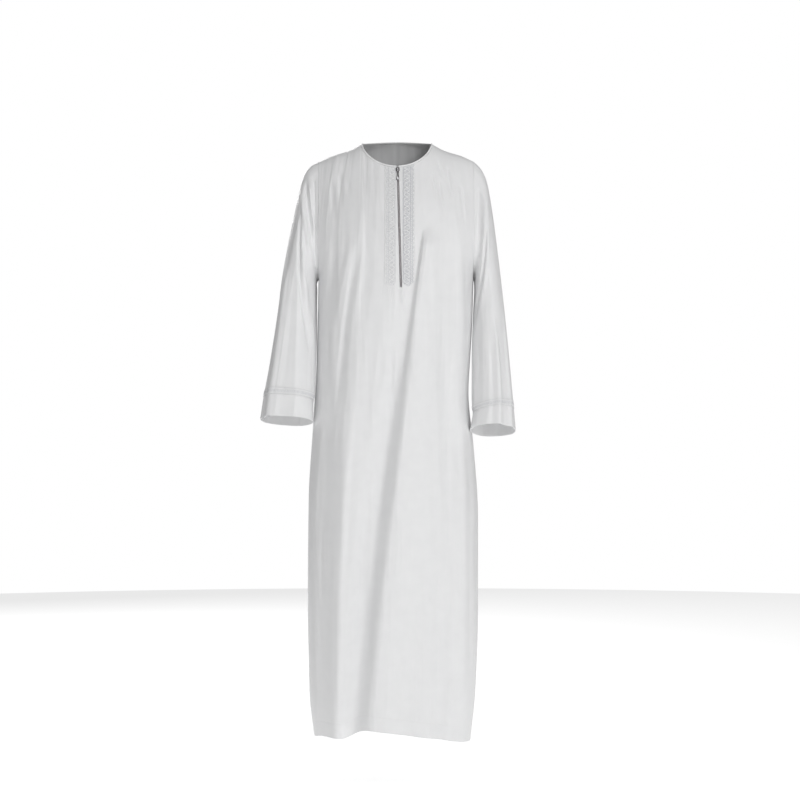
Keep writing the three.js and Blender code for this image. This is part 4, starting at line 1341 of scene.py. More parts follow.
@dataclass
class BodyPanel:
    """The front or the back panel: its grid of cloth, from the neck and shoulders to the hem."""

    name: str
    form: PanelForm
    steps: np.ndarray  # columns out from the middle, in the frame's own column numbers
    neck_steps: float = 5
    yoke_rows: int = 60
    skirt_rows: int = 150
    yoke_row_power: float = 1.5
    hem_line: float = 36
    hem_dimple: float = 0.45
    dimple_width: float = 1.8
    dimple_clearance: float = 2
    neck_line: float = 5
    neck_line_clearance: float = 3
    grid: ClothGrid = field(init=False)

    def __post_init__(self) -> None:
        """Builds the grid."""
        self.grid = self._grid()

    def start(self, side: int) -> tuple[float, float, float]:
        """The column that the others spread from: its number and its places across at neck and skirt."""
        return 0, BODY.neck_x, 0

    def column_x(self, side: int, step: float, z: Numbers, edge: Numbers, low: Numbers) -> Numbers:
        """Place across of a column.

        Args:
            side: The sign of X.
            step: The column, 0 in the middle.
            z: Its levels, not used here.
            edge: Distance of the panel's edge from the middle at each level.
            low: 0 for the layout at the neck, 1 for the one at the skirt.

        Returns:
            The places across.
        """
        first, neck_start, skirt_start = self.start(side)
        last = self.steps[-1]
        neck = BODY.neck_x + side * BODY.neck_half_width
        if step <= self.neck_steps:
            high = lerp(neck_start, neck, crowded((step - first) / (self.neck_steps - first)))
        else:
            high = lerp(neck, side * edge, (step - self.neck_steps) / (last - self.neck_steps))
        share = (step - first) / (last - first)
        return lerp(high, lerp(skirt_start, side * edge, crowded(share)), low)

    def _column(self, side: int, step: float) -> np.ndarray:
        """One column of points, from the neckline or shoulder seam down to the hem.

        Args:
            side: The sign of X.
            step: The column.

        Returns:
            The points.
        """
        armhole = BODY.armhole_x - HALF_GAP
        top_x = float(self.column_x(side, step, -BODY.front_neck_drop, armhole, 0.0))
        top_z = float(self.form.neck(top_x) if BODY.in_neck(top_x) else BODY.crest_z(top_x))
        chest_z = lerp(BODY.zip_end_z, BODY.underarm_z, (step / self.steps[-1]) ** 2)
        hem_edge = float(BODY.half_width(side, float(self.form.hem(side * BODY.armhole_x))))
        hem_z = float(self.form.hem(self.column_x(side, step, BODY.zip_end_z, hem_edge, 1.0)))
        yoke = np.linspace(0, 1, self.yoke_rows + 1)
        skirt_z = lerp(chest_z, hem_z, np.linspace(0, 1, self.skirt_rows + 1)[1:])
        hem_rows = hem_z + self.hem_line + self.dimple_width * np.arange(2, -3, -1)
        skirt_z = np.sort(np.concatenate([skirt_z, hem_rows]))[::-1]
        z = np.concatenate([lerp(top_z, chest_z, yoke**self.yoke_row_power), skirt_z])
        in_yoke = np.arange(len(z)) <= self.yoke_rows
        low = np.concatenate([smoothstep(yoke), np.ones(len(skirt_z))])
        edge = np.where(in_yoke, armhole, BODY.half_width(side, z))
        x = self.column_x(side, step, z, edge, low)
        x[0] = top_x
        y = self.form.y_at(x, z)
        away = (z - hem_z - self.hem_line) / self.dimple_width
        off_seam = np.abs(y) > self.dimple_clearance
        y = y - self.form.facing * self.hem_dimple * np.exp(-away * away) * off_seam
        if not BODY.in_neck(top_x):
            y[0] = self.form.facing * HALF_GAP
        if step == self.steps[-1]:
            y[~in_yoke] = self.form.facing * HALF_GAP
        return np.stack([x, y, z], axis=-1)

    def _grid(self) -> ClothGrid:
        """All columns, with the directions at the seams turned into the seams' own planes.

        Returns:
            The panel's grid.
        """
        inner = self.steps if self.form.facing < 0 else self.steps[1:]
        spread = [(-1, step) for step in self.steps[::-1]] + [(1, step) for step in inner]
        if self.form.facing > 0:
            spread.reverse()
        points = np.stack([self._column(side, step) for side, step in spread], axis=1)
        normals = grid_normals(points, False)
        for column in (0, -1):
            normals[: self.yoke_rows, column, 0] = 0
            normals[self.yoke_rows + 1 :, column, 1] = 0
            normals[self.yoke_rows, column] = (np.sign(points[self.yoke_rows, column, 0]), 0, -1)
        on_shoulder = np.abs(points[0, :, 0] - BODY.neck_x) > BODY.neck_half_width - 1
        normals[0, on_shoulder, 1] = 0
        return ClothGrid(points, unit(normals))

    def neck_edge(self) -> tuple[np.ndarray, np.ndarray]:
        """The neckline's points and outward directions."""
        inside = BODY.in_neck(self.grid.points[0, :, 0])
        return self.grid.points[0, inside], self.grid.normals[0, inside]

    def open_quads(self) -> np.ndarray | None:
        """The quads that are left open."""
        return None

    def neck_columns(self) -> list[np.ndarray]:
        """The columns that each line of stitches below the neck binding crosses."""
        away = np.abs(self.grid.points[0, :, 0] - BODY.neck_x)
        return [np.nonzero(away < BODY.neck_half_width - self.neck_line_clearance)[0]]

    def stitch_lines(self) -> list[ThreadPath]:
        """The lines of the hem's stitches and of those below the neck binding."""
        neck = [self.grid.line_from_edge(self.neck_line, False, columns) for columns in self.neck_columns()]
        return [self.grid.line_from_edge(self.hem_line, True), *neck]

    def build(self, room: Workroom) -> list[Piece]:
        """Builds the panel's cloth and its stitches.

        Args:
            room: The workroom.

        Returns:
            The cloth and the stitches.
        """
        cloth = cloth_wall(f"{self.name}_cloth", self.grid, SHOWN_CLOTH, open_quads=self.open_quads())
        dress(cloth, GARMENT, "satin", [self.name], room.satin)
        thread = room.stitches.sew(
            f"{self.name}_topstitch", self.stitch_lines(), TOPSTITCH, room.sewing, seed=3
        )
        dress(thread, GARMENT, "satin")
        return [cloth, thread]


@dataclass
class FrontPanel(BodyPanel):
    """The front, with a slot for the zip and the lines that the strips beside it keep to."""

    neck_steps: float = 8
    strip_right: tuple[float, float] = (-1, -27.5)
    strip_left: tuple[float, float] = (16.4, 45.4)
    strip_steps: float = 4

    def strip(self, side: int) -> tuple[float, float]:
        """The inner and outer line of the strip on a side."""
        return self.strip_right if side < 0 else self.strip_left

    def start(self, side: int) -> tuple[float, float, float]:
        """The column at a strip's outer line: its number and its places across at neck and skirt."""
        outer = self.strip(side)[1]
        return self.strip_steps, outer, outer

    def column_x(self, side: int, step: float, z: Numbers, edge: Numbers, low: Numbers) -> Numbers:
        """Place across of a front column.

        Args:
            side: The sign of X.
            step: The column, 0 at the slot.
            z: Its levels.
            edge: Distance of the panel's edge from the middle at each level.
            low: 0 for the layout at the neck, 1 for the one at the skirt.

        Returns:
            The places across.
        """
        if step > self.strip_steps:
            return super().column_x(side, step, z, edge, low)
        inner, outer = self.strip(side)
        slot = BODY.zip_x(z) + side * BODY.slot_half_width
        if step < 1:
            return lerp(slot, inner, step)
        return lerp(inner, outer, (step - 1) / (self.strip_steps - 1)) + 0 * slot

    def open_quads(self) -> np.ndarray:
        """The slot, open from the neck to the end of the zip."""
        quads = np.zeros(np.subtract(self.grid.points.shape[:2], 1), bool)
        quads[: self.yoke_rows, len(self.steps) - 1] = True
        return quads

    def neck_columns(self) -> list[np.ndarray]:
        """The columns below the binding, on one side of the zip and on the other."""
        (inside,) = super().neck_columns()
        slot = len(self.steps)
        return [inside[inside < slot - 1], inside[inside > slot]]


@dataclass
class BackPanel(BodyPanel):
    """The back, plain from the neck to the hem."""


def column_steps(*stretches: tuple[float, float, int]) -> np.ndarray:
    """Column numbers over stretches of (first, last, how many steps), each going on from the last."""
    found = [np.linspace(first, last, count + 1)[1:] for first, last, count in stretches]
    return np.concatenate([[stretches[0][0]], *found])


# ---------------------------------------------------------------- sleeves


@dataclass(frozen=True)
class Ring:
    """A section of a sleeve: its outer and inner edge in the front view, and its depth."""

    out_x: float
    out_z: float
    in_x: float
    in_z: float
    y: float
    front: float
    back: float
    tilt: float


@dataclass(frozen=True)
class SleeveCrease:
    """A crease along a sleeve, between two rings, going round from one angle to another."""

    first: float
    last: float
    angles: tuple[float, float]
    height: float
    spread: float
    growth: float = 2.0
    fade: float = 0.0

    def push(self, ring: np.ndarray, angle: np.ndarray) -> np.ndarray:
        """How far the crease pushes the cloth out.

        Args:
            ring: The place along the sleeve.
            angle: The place round it, in degrees.

        Returns:
            The push in millimetres.
        """
        t = np.clip((ring - self.first) / (self.last - self.first), 0, 1)
        strength = smoothstep((ring - self.first) / self.growth)
        if self.fade:
            strength = strength * smoothstep((self.last - ring) / self.fade)
        away = (angle - lerp(*self.angles, t) + 180) % 360 - 180
        return self.height * strength * hump(away, self.spread, self.spread)


@dataclass
class Sleeve:
    """A set-in sleeve with its cuff band, the embroidered line at their seam, and its creases."""

    side: Side
    rings: tuple[Ring, ...]
    folds: tuple[SleeveCrease, ...]
    creases: tuple[SleeveCrease, ...]
    front_creases: tuple[Fold, ...]
    columns: int = 136
    rows: int = 150
    band_rows: int = 16
    line_rows: int = 9
    band_ring: int = 12
    blend_rings: int = 5
    band_thickness: float = SHOWN_CLOTH * 1.3
    band_lines: tuple[float, float] = (3.0, 6.0)
    line_ground: float = 0.5
    grid: ClothGrid = field(init=False)

    def __post_init__(self) -> None:
        """Builds the grid."""
        self.grid = self._grid()

    def _sections(self) -> np.ndarray:
        """The rings' sections, the armhole first, without any crease.

        Returns:
            The points of each section.
        """
        turns = turns_round(self.columns)
        sign = self.side.value
        top = (1 - sign * np.cos(turns)) / 2
        z = lerp(BODY.underarm_z, float(BODY.crest_z(sign * BODY.armhole_x)), top)
        x = np.full_like(z, sign * BODY.armhole_x)
        front = np.sin(turns) >= 0
        plain_front, plain_back = (replace(form, creases=()) for form in (FRONT, BACK))
        armhole_y = np.where(front, plain_front.y_at(x, z), plain_back.y_at(x, z))
        armhole_y = np.where(np.abs(np.sin(turns)) < SAME, 0, armhole_y)
        sections = [np.stack([x + sign * HALF_GAP, armhole_y, z], axis=-1)]
        across = (1 - np.cos(turns)) / 2
        for number, ring in enumerate(self.rings, 1):
            ends = (ring.out_x, ring.out_z), (ring.in_x, ring.in_z)
            low, high = ends if sign < 0 else ends[::-1]
            push = sum(fold.push(float(number), np.degrees(turns)) for fold in self.folds)
            swell = (np.where(front, ring.front, ring.back) + push) * np.sin(turns)
            y = lerp(armhole_y, ring.y - swell, smoothstep(number / self.blend_rings))
            z = lerp(low[1], high[1], across) + ring.tilt * (ring.y - y)
            sections.append(np.stack([lerp(low[0], high[0], across), y, z], axis=-1))
        return np.array(sections)

    def ring_places(self) -> np.ndarray:
        """Rows of the fine grid, in ring numbers: more of them where the rings are far apart.

        Returns:
            The place of each row.
        """
        along = running_total(gaps(self._sections()).mean(axis=1))
        even = np.linspace(0, along[-1], self.rows + 1)
        places = np.interp(even, along, np.arange(len(along)))
        places[int(np.argmin(np.abs(places - self.band_ring)))] = self.band_ring
        return places

    def _grid(self) -> ClothGrid:
        """The fine grid: smooth along the sleeve, with the creases pushed out along the cloth.

        Returns:
            The grid.
        """
        sections = self._sections()
        places = self.ring_places()
        i = np.clip(np.floor(places).astype(int), 0, len(sections) - 2)
        t = (places - i)[:, None, None]
        slope = np.gradient(sections, axis=0)
        points = lerp(sections[i], sections[i + 1], smoothstep(t))
        points += t * (1 - t) * ((1 - t) * slope[i] - t * slope[i + 1])
        normals = grid_normals(points, True)
        angle = np.arange(self.columns) * 360 / self.columns
        push = sum(crease.push(places[:, None], angle[None, :]) for crease in self.creases)
        # the front creases fade towards the sleeve's two edges and the armhole
        facing = np.clip(1.7 * np.sin(np.radians(angle)), 0, 1)[None, :] * smoothstep(places / 0.9)[:, None]
        push += facing * sum(fold.push(points[..., 0], points[..., 2]) for fold in self.front_creases)
        points = points + normals * np.asarray(push)[..., None]
        normals = grid_normals(points, True)
        normals[0, :, 0] = 0
        normals[0] = unit(normals[0])
        return ClothGrid(points, normals, True)

    def row_of_ring(self, ring: float) -> float:
        """The row of the fine grid at a place in ring numbers."""
        places = self.ring_places()
        return float(np.interp(ring, places, np.arange(len(places))))

    def build(self, room: Workroom) -> None:
        """Builds the sleeve, its band and the embroidered line, with their stitches.

        Args:
            room: The workroom.
        """
        word = self.side.word
        seam = self.row_of_ring(self.band_ring)
        end = len(self.grid.points) - 1
        line_top = self.row_of_ring(self.band_ring - 1)
        upper = self.grid.part(0, seam, int(seam) + 1)
        row_length = self.grid.steps_down()[-1] / end
        band = self.grid.part(seam + SEAM_GAP / row_length, end, self.band_rows)
        sleeve = cloth_wall(f"sleeve_{word}_cloth", upper, SHOWN_CLOTH)
        dress(sleeve, GARMENT, "satin", [f"sleeve_{word}"], room.satin)
        cuff = cloth_wall(f"cuff_band_{word}_cloth", band, self.band_thickness)
        dress(cuff, GARMENT, "satin", [f"cuff_band_{word}"], room.satin)
        top_line, bottom_line = self.band_lines
        lines = [band.line_from_edge(top_line, False), band.line_from_edge(bottom_line, True)]
        sewn = room.stitches.sew(f"cuff_{word}_topstitch", lines, CUFF_TOPSTITCH, room.sewing, seed=5)
        dress(sewn, GARMENT, "satin")
        thread = self._embroidered_line(room, line_top, seam)
        carriers = ["front_panel_cloth", "back_panel_cloth"]
        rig.sheet(sleeve, held="hung", rests_on=carriers, with_pieces=[thread], **upper.cut())
        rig.sheet(cuff, held="hung", rests_on=[sleeve.name], with_pieces=[sewn], **band.cut())
        log.info("the %s sleeve is cut %s, its band %s", word, upper.cut(), band.cut())

    def _embroidered_line(self, room: Workroom, top: float, seam: float) -> Piece:
        """The line above the cuff: a ground, a border each side of it and upright bars between.

        Args:
            room: The workroom.
            top: The row where the line starts.
            seam: The row of the band's seam, where it ends.

        Returns:
            The line's threads.
        """
        word = self.side.word
        line = self.grid.part(top, seam, self.line_rows)
        lift = SEAM_GAP + self.line_ground
        ground = cloth_wall(f"cuff_embroidery_{word}_ground", line, self.line_ground, lift=lift)
        dress(ground, GARMENT, "embroidery", [f"cuff_embroidery_{word}"], room.pale_ground)
        height = float(line.steps_down()[-1])
        border = StitchStyle(pitch=0.9, length=1.7, width=0.75, height=0.5, slant=78, lift=lift)
        bars = StitchStyle(pitch=3.4, length=height * 0.42, width=1.1, height=0.8, slant=88, lift=lift)
        edges = [line.line_from_edge(1.0, from_bottom) for from_bottom in (False, True)]
        between = [line.line_from_edge(height * 0.5, False)]
        inner = [line.line_from_edge(height * 0.2, from_bottom) for from_bottom in (False, True)]
        parts = [
            room.stitches.sew("edge", edges, border, room.sewing, seed=1),
            room.stitches.sew("bars", between, bars, room.pale_silver, seed=2),
            room.stitches.sew("inner", inner, replace(border, length=1.2), room.white, seed=3),
        ]
        thread = joined(f"cuff_embroidery_{word}_thread", parts)
        dress(thread, GARMENT, "embroidery")
        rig.sheet(ground, held="laid", rests_on=[f"sleeve_{word}_cloth"], **line.cut())
        return thread


RIGHT_RINGS = (
    Ring(-207, -53, -189.5, -331.5, 0, 60, 62, 0),
    Ring(-221, -70, -191, -334, 0, 63, 65, 0),
    Ring(-231, -98, -192.5, -337, 0, 66, 67, 0),
    Ring(-243, -150, -194, -342, -1, 70, 70, 0),
    Ring(-255, -207, -195.5, -350, -3, 72, 71, 0.02),
    Ring(-267, -270, -197.5, -364, -6, 71, 69, 0.05),
    Ring(-277, -330, -199.5, -390, -12, 68, 66, 0.08),
    Ring(-285, -400, -200.5, -434, -21, 64, 62, 0.12),
    Ring(-295, -470, -201, -490, -30, 60, 58, 0.16),
    Ring(-305.5, -538, -200.5, -550, -40, 56, 54, 0.2),
    Ring(-316, -597, -199.3, -605, -48, 53, 51, 0.22),
    Ring(-319, -614, -199.2, -622, -50, 52, 50, 0.23),
    Ring(-327, -667, -198.5, -673, -54, 52, 50, 0.24),
)
RIGHT_SLEEVE_FOLDS = (
    SleeveCrease(5, 14, (48, 48), 5, 34, growth=3),
    SleeveCrease(6, 14, (84, 84), -3.5, 30, growth=3),
    SleeveCrease(4, 14, (235, 235), 5, 40, growth=3),
)
RIGHT_SLEEVE_CREASES = (
    # the side towards the body, which hangs close to it
    SleeveCrease(2.4, 12.4, (180, 180), 8.0, 46, growth=5.0, fade=3.9),
    SleeveCrease(6.5, 12.6, (180, 180), 1.8, 40, growth=2.0, fade=2.5),
    SleeveCrease(2.8, 9.9, (40, 158), -6.0, 13, growth=2.6, fade=2.2),
    SleeveCrease(2.8, 9.9, (60, 176), 3.0, 16, growth=2.6, fade=2.4),
    SleeveCrease(6.0, 14.5, (45, 48), 5.0, 12, growth=1.4),
    SleeveCrease(6.4, 14.5, (27, 30), -3.6, 11, growth=1.6),
    SleeveCrease(0.3, 3.2, (74, 62), 1.8, 8, growth=0.8, fade=1.4),
    SleeveCrease(0.2, 2.6, (98, 84), -1.8, 7, growth=0.7, fade=1.2),
    SleeveCrease(0.4, 3.0, (118, 112), 1.5, 7, growth=0.7, fade=1.4),
    SleeveCrease(5.5, 12.0, (205, 250), -3.6, 16, growth=1.8, fade=2.2),
    SleeveCrease(3.4, 9.0, (300, 262), -3.4, 15, growth=1.6, fade=2.2),
    SleeveCrease(7.5, 13.6, (310, 322), 3.0, 15, growth=1.8),
)
RIGHT_FRONT_CREASES = (
    Fold(-62, -300, (-222, -208, -193), -7.0, 60, 11, 8, fade=110),
    Fold(-104, -350, (-236, -212, -197), 4.0, 40, 9, 9, fade=80),
    Fold(-92, -220, (-213, -206, -199), 2.6, 30, 6, 6, fade=50),
    Fold(-66, -325, (-197, -195, -193), -5.0, 40, 5, 6, fade=60),
)
LEFT_RINGS = (
    Ring(203, -55, 189.1, -331.5, 0, 60, 62, 0),
    Ring(215, -75, 189.4, -334, 0, 63, 65, 0),
    Ring(223, -100, 189.7, -337, 0, 66, 67, 0),
    Ring(231, -145, 190, -342, -1, 70, 70, 0),
    Ring(239, -200, 190, -350, -3, 72, 71, 0.02),
    Ring(247, -265, 190, -364, -6, 71, 69, 0.05),
    Ring(254, -325, 190, -390, -12, 68, 66, 0.08),
    Ring(261.5, -396, 190, -434, -22, 64, 62, 0.12),
    Ring(269, -472, 190, -495, -33, 60, 58, 0.16),
    Ring(276, -552, 190, -566, -45, 57, 55, 0.2),
    Ring(282, -624, 188, -636, -55, 56, 54, 0.23),
    Ring(283.5, -642, 185.5, -652, -57, 56, 54, 0.25),
    Ring(288, -694, 177.5, -692, -62, 56, 52, 0.29),
)
LEFT_SLEEVE_FOLDS = (
    SleeveCrease(9, 14, (92, 92), 5, 30, growth=3),
    SleeveCrease(6, 14, (132, 132), -3.5, 30, growth=3),
    SleeveCrease(4, 14, (300, 300), 5, 40, growth=3),
)
LEFT_SLEEVE_CREASES = (
    # the side towards the body, which hangs close to it
    SleeveCrease(5.6, 12.0, (0, 0), 4.4, 46, growth=3.0, fade=1.8),
    SleeveCrease(7.8, 12.0, (0, 0), 3.0, 40, growth=1.8, fade=1.5),
    SleeveCrease(8.2, 14.5, (105, 104), 5.0, 11, growth=1.4),
    SleeveCrease(8.6, 14.5, (86, 85), -3.8, 13, growth=1.6),
    SleeveCrease(3.6, 8.4, (112, 10), -5.6, 15, growth=1.4, fade=1.6),
    SleeveCrease(3.4, 8.6, (134, 34), 3.0, 16, growth=1.5, fade=1.9),
    SleeveCrease(7.6, 14.5, (150, 138), 3.4, 13, growth=1.8),
    SleeveCrease(0.3, 3.2, (96, 108), -1.8, 8, growth=0.8, fade=1.4),
    SleeveCrease(0.3, 2.8, (124, 132), 1.7, 8, growth=0.8, fade=1.3),
    SleeveCrease(0.4, 2.4, (70, 76), 1.4, 7, growth=0.7, fade=1.2),
    SleeveCrease(5.2, 12.0, (330, 296), -3.6, 16, growth=1.8, fade=2.2),
    SleeveCrease(3.6, 9.4, (236, 276), -3.2, 15, growth=1.6, fade=2.2),
    SleeveCrease(7.5, 13.6, (222, 214), 3.0, 15, growth=1.8),
)
LEFT_FRONT_CREASES = (
    Fold(-80, -310, (202, 197, 194), -4.5, 60, 7, 12, fade=110),
    Fold(-96, -330, (221, 213, 207), 2.6, 60, 10, 10, fade=110),
)


# ---------------------------------------------------------------- neck binding


@dataclass
class NeckBinding:
    """The narrow binding round the neckline, open at the zip."""

    front: BodyPanel
    back: BodyPanel
    width: float = 4.5
    proud: float = 0.45
    stand: float = 0.35
    evening: int = 12
    corners: int = 14
    edge_power: float = 0.6
    face_power: float = 0.7

    def _loop(self) -> tuple[np.ndarray, np.ndarray]:
        """Points and outward directions round the neck, from one side of the zip to the other.

        Returns:
            The points and the directions.
        """
        front, back = self.front.neck_edge(), self.back.neck_edge()
        before_zip = np.count_nonzero(front[0][:, 0] < BODY.zip_x(-BODY.front_neck_drop))
        points, normals = (
            np.concatenate([ahead[before_zip:], behind[1:-1], ahead[:before_zip]])
            for ahead, behind in zip(front, back)
        )
        return points, normals

    def build(self, room: Workroom) -> Piece:
        """Builds the binding, rounded over the cloth's edge.

        Args:
            room: The workroom.

        Returns:
            The binding.
        """
        points, normals = self._loop()
        padded = np.concatenate([points[:1], points, points[-1:]])
        along = unit(padded[2:] - padded[:-2])
        up = unit(-np.cross(along, normals))
        up[:, 2] += self.stand
        up = unit(up - along * np.sum(up * along, axis=-1, keepdims=True))
        for _ in range(self.evening):
            for line in (up, along):
                line[1:-1] = (line[:-2] + 2 * line[1:-1] + line[2:]) / 4
        up = unit(up)
        out = unit(np.cross(up, along))
        out *= np.sign(np.sum(out * normals, axis=-1, keepdims=True))
        turns = turns_round(self.corners)
        rise = SEAM_GAP + self.width / 2 * (1 - squared(np.cos(turns), self.edge_power))
        half = (CAD_CLOTH + 2 * self.proud) / 2
        lift = self.proud - half + half * squared(np.sin(turns), self.face_power)
        sections = points[:, None] + up[:, None] * rise[:, None] + out[:, None] * lift[:, None]
        piece = tube_mesh("neck_binding_cloth", sections)
        self._map(piece, points)
        return dress(piece, GARMENT, "binding", ["neck_binding"], room.binding)

    def _map(self, piece: Piece, points: np.ndarray) -> None:
        """Gives the binding a UV map along and round its section.

        Args:
            piece: The binding.
            points: The line that it follows.
        """
        lengths = running_total(gaps(points))
        layer = piece.data.uv_layers.new(name="cloth")
        for loop in piece.data.loops:
            section, corner = divmod(loop.vertex_index, self.corners)
            layer.data[loop.index].uv = (lengths[section] * MM, corner * self.width * MM / self.corners)


# ---------------------------------------------------------------- embroidered strips


@dataclass
class EmbroideredStrip:
    """A strip beside the zip: a ground with a scalloped outer edge and an interlaced band on it."""

    side: Side
    inner_x: float
    outer_x: float
    end_inner_z: float
    end_point_z: float
    end_outer_z: float
    ground_thickness: float = 0.5
    top_rise: float = 0.4
    point_share: float = 0.45
    scallop: float = 10.5
    scallop_depth: float = 4.2
    scallops_from: float = 0.8
    band_middle: float = 0.33
    band_swing: float = 0.2
    wave: float = 23.0
    line_gap: float = 3.0
    line_step: float = 0.8
    band_share: float = 0.4
    tail: float = 0.0
    tail_shares: tuple[float, ...] = (0.2, 0.36, 0.52, 0.68)
    tail_gap: float = 1.5
    tail_lean: float = 0.12
    columns: int = 14
    rows: int = 170

    @property
    def width(self) -> float:
        """The strip's width across."""
        return abs(self.outer_x - self.inner_x)

    def end_z(self, x: Numbers) -> Numbers:
        """Level of the strip's pointed lower end at a place across."""
        share = (x - self.inner_x) / (self.outer_x - self.inner_x)
        levels = [self.end_inner_z, self.end_point_z, self.end_outer_z]
        return np.interp(share, [0, self.point_share, 1], levels)

    def x_at(self, across: Numbers, z: Numbers) -> Numbers:
        """Place across for a share of the strip's width, with the outer edge scalloped.

        Args:
            across: The share of the width.
            z: The level.

        Returns:
            X at each place.
        """
        bite = self.scallop_depth * (1 - np.abs(np.sin(math.pi * z / self.scallop)))
        reach = self.width - bite * np.clip((across - self.scallops_from) / (1 - self.scallops_from), 0, 1)
        return self.inner_x + self.side.value * across * reach

    def _grid(self) -> ClothGrid:
        """The ground's grid on the front panel, from the neckline to the strip's end.

        Returns:
            The grid.
        """
        share = np.linspace(0, 1, self.columns + 1)
        if self.side is Side.RIGHT:
            share = share[::-1]
        plain = self.inner_x + self.side.value * share * self.width
        down = np.linspace(0, 1, self.rows + 1)[:, None]
        z = lerp(FRONT.neck(plain) - self.top_rise, self.end_z(plain), down)
        return ClothGrid.on(FRONT.path(self.x_at(share, z), z))

    def _line(self, across: float | Callable[[np.ndarray], np.ndarray]) -> ThreadPath:
        """A line down the strip.

        Args:
            across: The share of the width, one number or a function of the distance down.

        Returns:
            The line.
        """
        straight = isinstance(across, float)
        x = self.inner_x + self.side.value * self.width * (across if straight else self.band_share)
        start = float(FRONT.neck(x)) - self.line_gap
        end = float(self.end_z(x)) + self.line_gap
        z = np.linspace(start, end, int((start - end) / self.line_step))
        share = np.full_like(z, across) if straight else across(start - z)
        return FRONT.path(self.x_at(share, z), z)

    def _swaying(self, wave: Callable[[np.ndarray], np.ndarray], swing: float, turns: int = 1) -> ThreadPath:
        """A line that swings about the middle of the band, some turns in each of the band's waves."""
        turn = turns * 2 * math.pi / self.wave
        return self._line(lambda drop: self.band_middle + swing * wave(turn * drop))

    def _tail(self) -> list[ThreadPath]:
        """Upright lines of stitches on the bare cloth below the strip.

        Returns:
            The lines.
        """
        lines = []
        for share in self.tail_shares:
            x = self.inner_x + self.side.value * self.width * share
            start = float(self.end_z(x)) - self.tail_gap
            z = np.linspace(start, start - self.tail, 40)
            lines.append(FRONT.path(x + self.tail_lean * (start - z), z))
        return lines

    def build(self, room: Workroom) -> None:
        """Builds the ground and its threads.

        Args:
            room: The workroom.
        """
        word = self.side.word
        pale = self.side is Side.RIGHT
        under, grey = (room.pale_ground, room.pale_silver) if pale else (room.ground, room.silver)
        grid = self._grid()
        lift = SEAM_GAP + self.ground_thickness
        ground = cloth_wall(f"placket_{word}_ground", grid, self.ground_thickness, lift=lift)
        dress(ground, GARMENT, "embroidery", [f"placket_embroidery_{word}"], under)
        cord = StitchStyle(pitch=0.85, length=1.5, width=0.7, height=0.6, slant=70, lift=lift)
        wide = StitchStyle(pitch=0.8, length=3.0, width=0.65, height=0.9, slant=58, lift=lift)
        bars = StitchStyle(pitch=self.scallop / 2, length=5.2, width=1.1, height=0.8, slant=42, lift=lift)
        scallops = StitchStyle(pitch=0.8, length=2.4, width=0.7, height=0.8, slant=84, lift=lift)
        strands = [self._swaying(np.cos, swing) for swing in (self.band_swing, -self.band_swing)]
        lattice = self._swaying(np.sin, self.band_swing, turns=3)
        edges = [self._line(share) for share in (0.04, 0.63, 0.76)]
        sew = room.stitches.sew
        parts = [
            sew("edge", edges, cord, grey, seed=21),
            sew("strands", strands, wide, room.white, seed=22),
            sew("lattice", [lattice], replace(cord, length=1.9), grey, seed=23),
            sew("bars", [self._line(0.7)], bars, room.white, seed=24),
            sew("scallops", [self._line(0.95)], scallops, room.white, seed=25),
        ]
        if self.tail:
            parts.append(sew("tail", self._tail(), replace(cord, lift=0.1, height=0.4), room.white, seed=26))
        thread = joined(f"placket_{word}_thread", parts)
        dress(thread, GARMENT, "embroidery")
        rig.sheet(ground, held="laid", rests_on=["front_panel_cloth"], with_pieces=[thread], **grid.cut())


# ---------------------------------------------------------------- zip


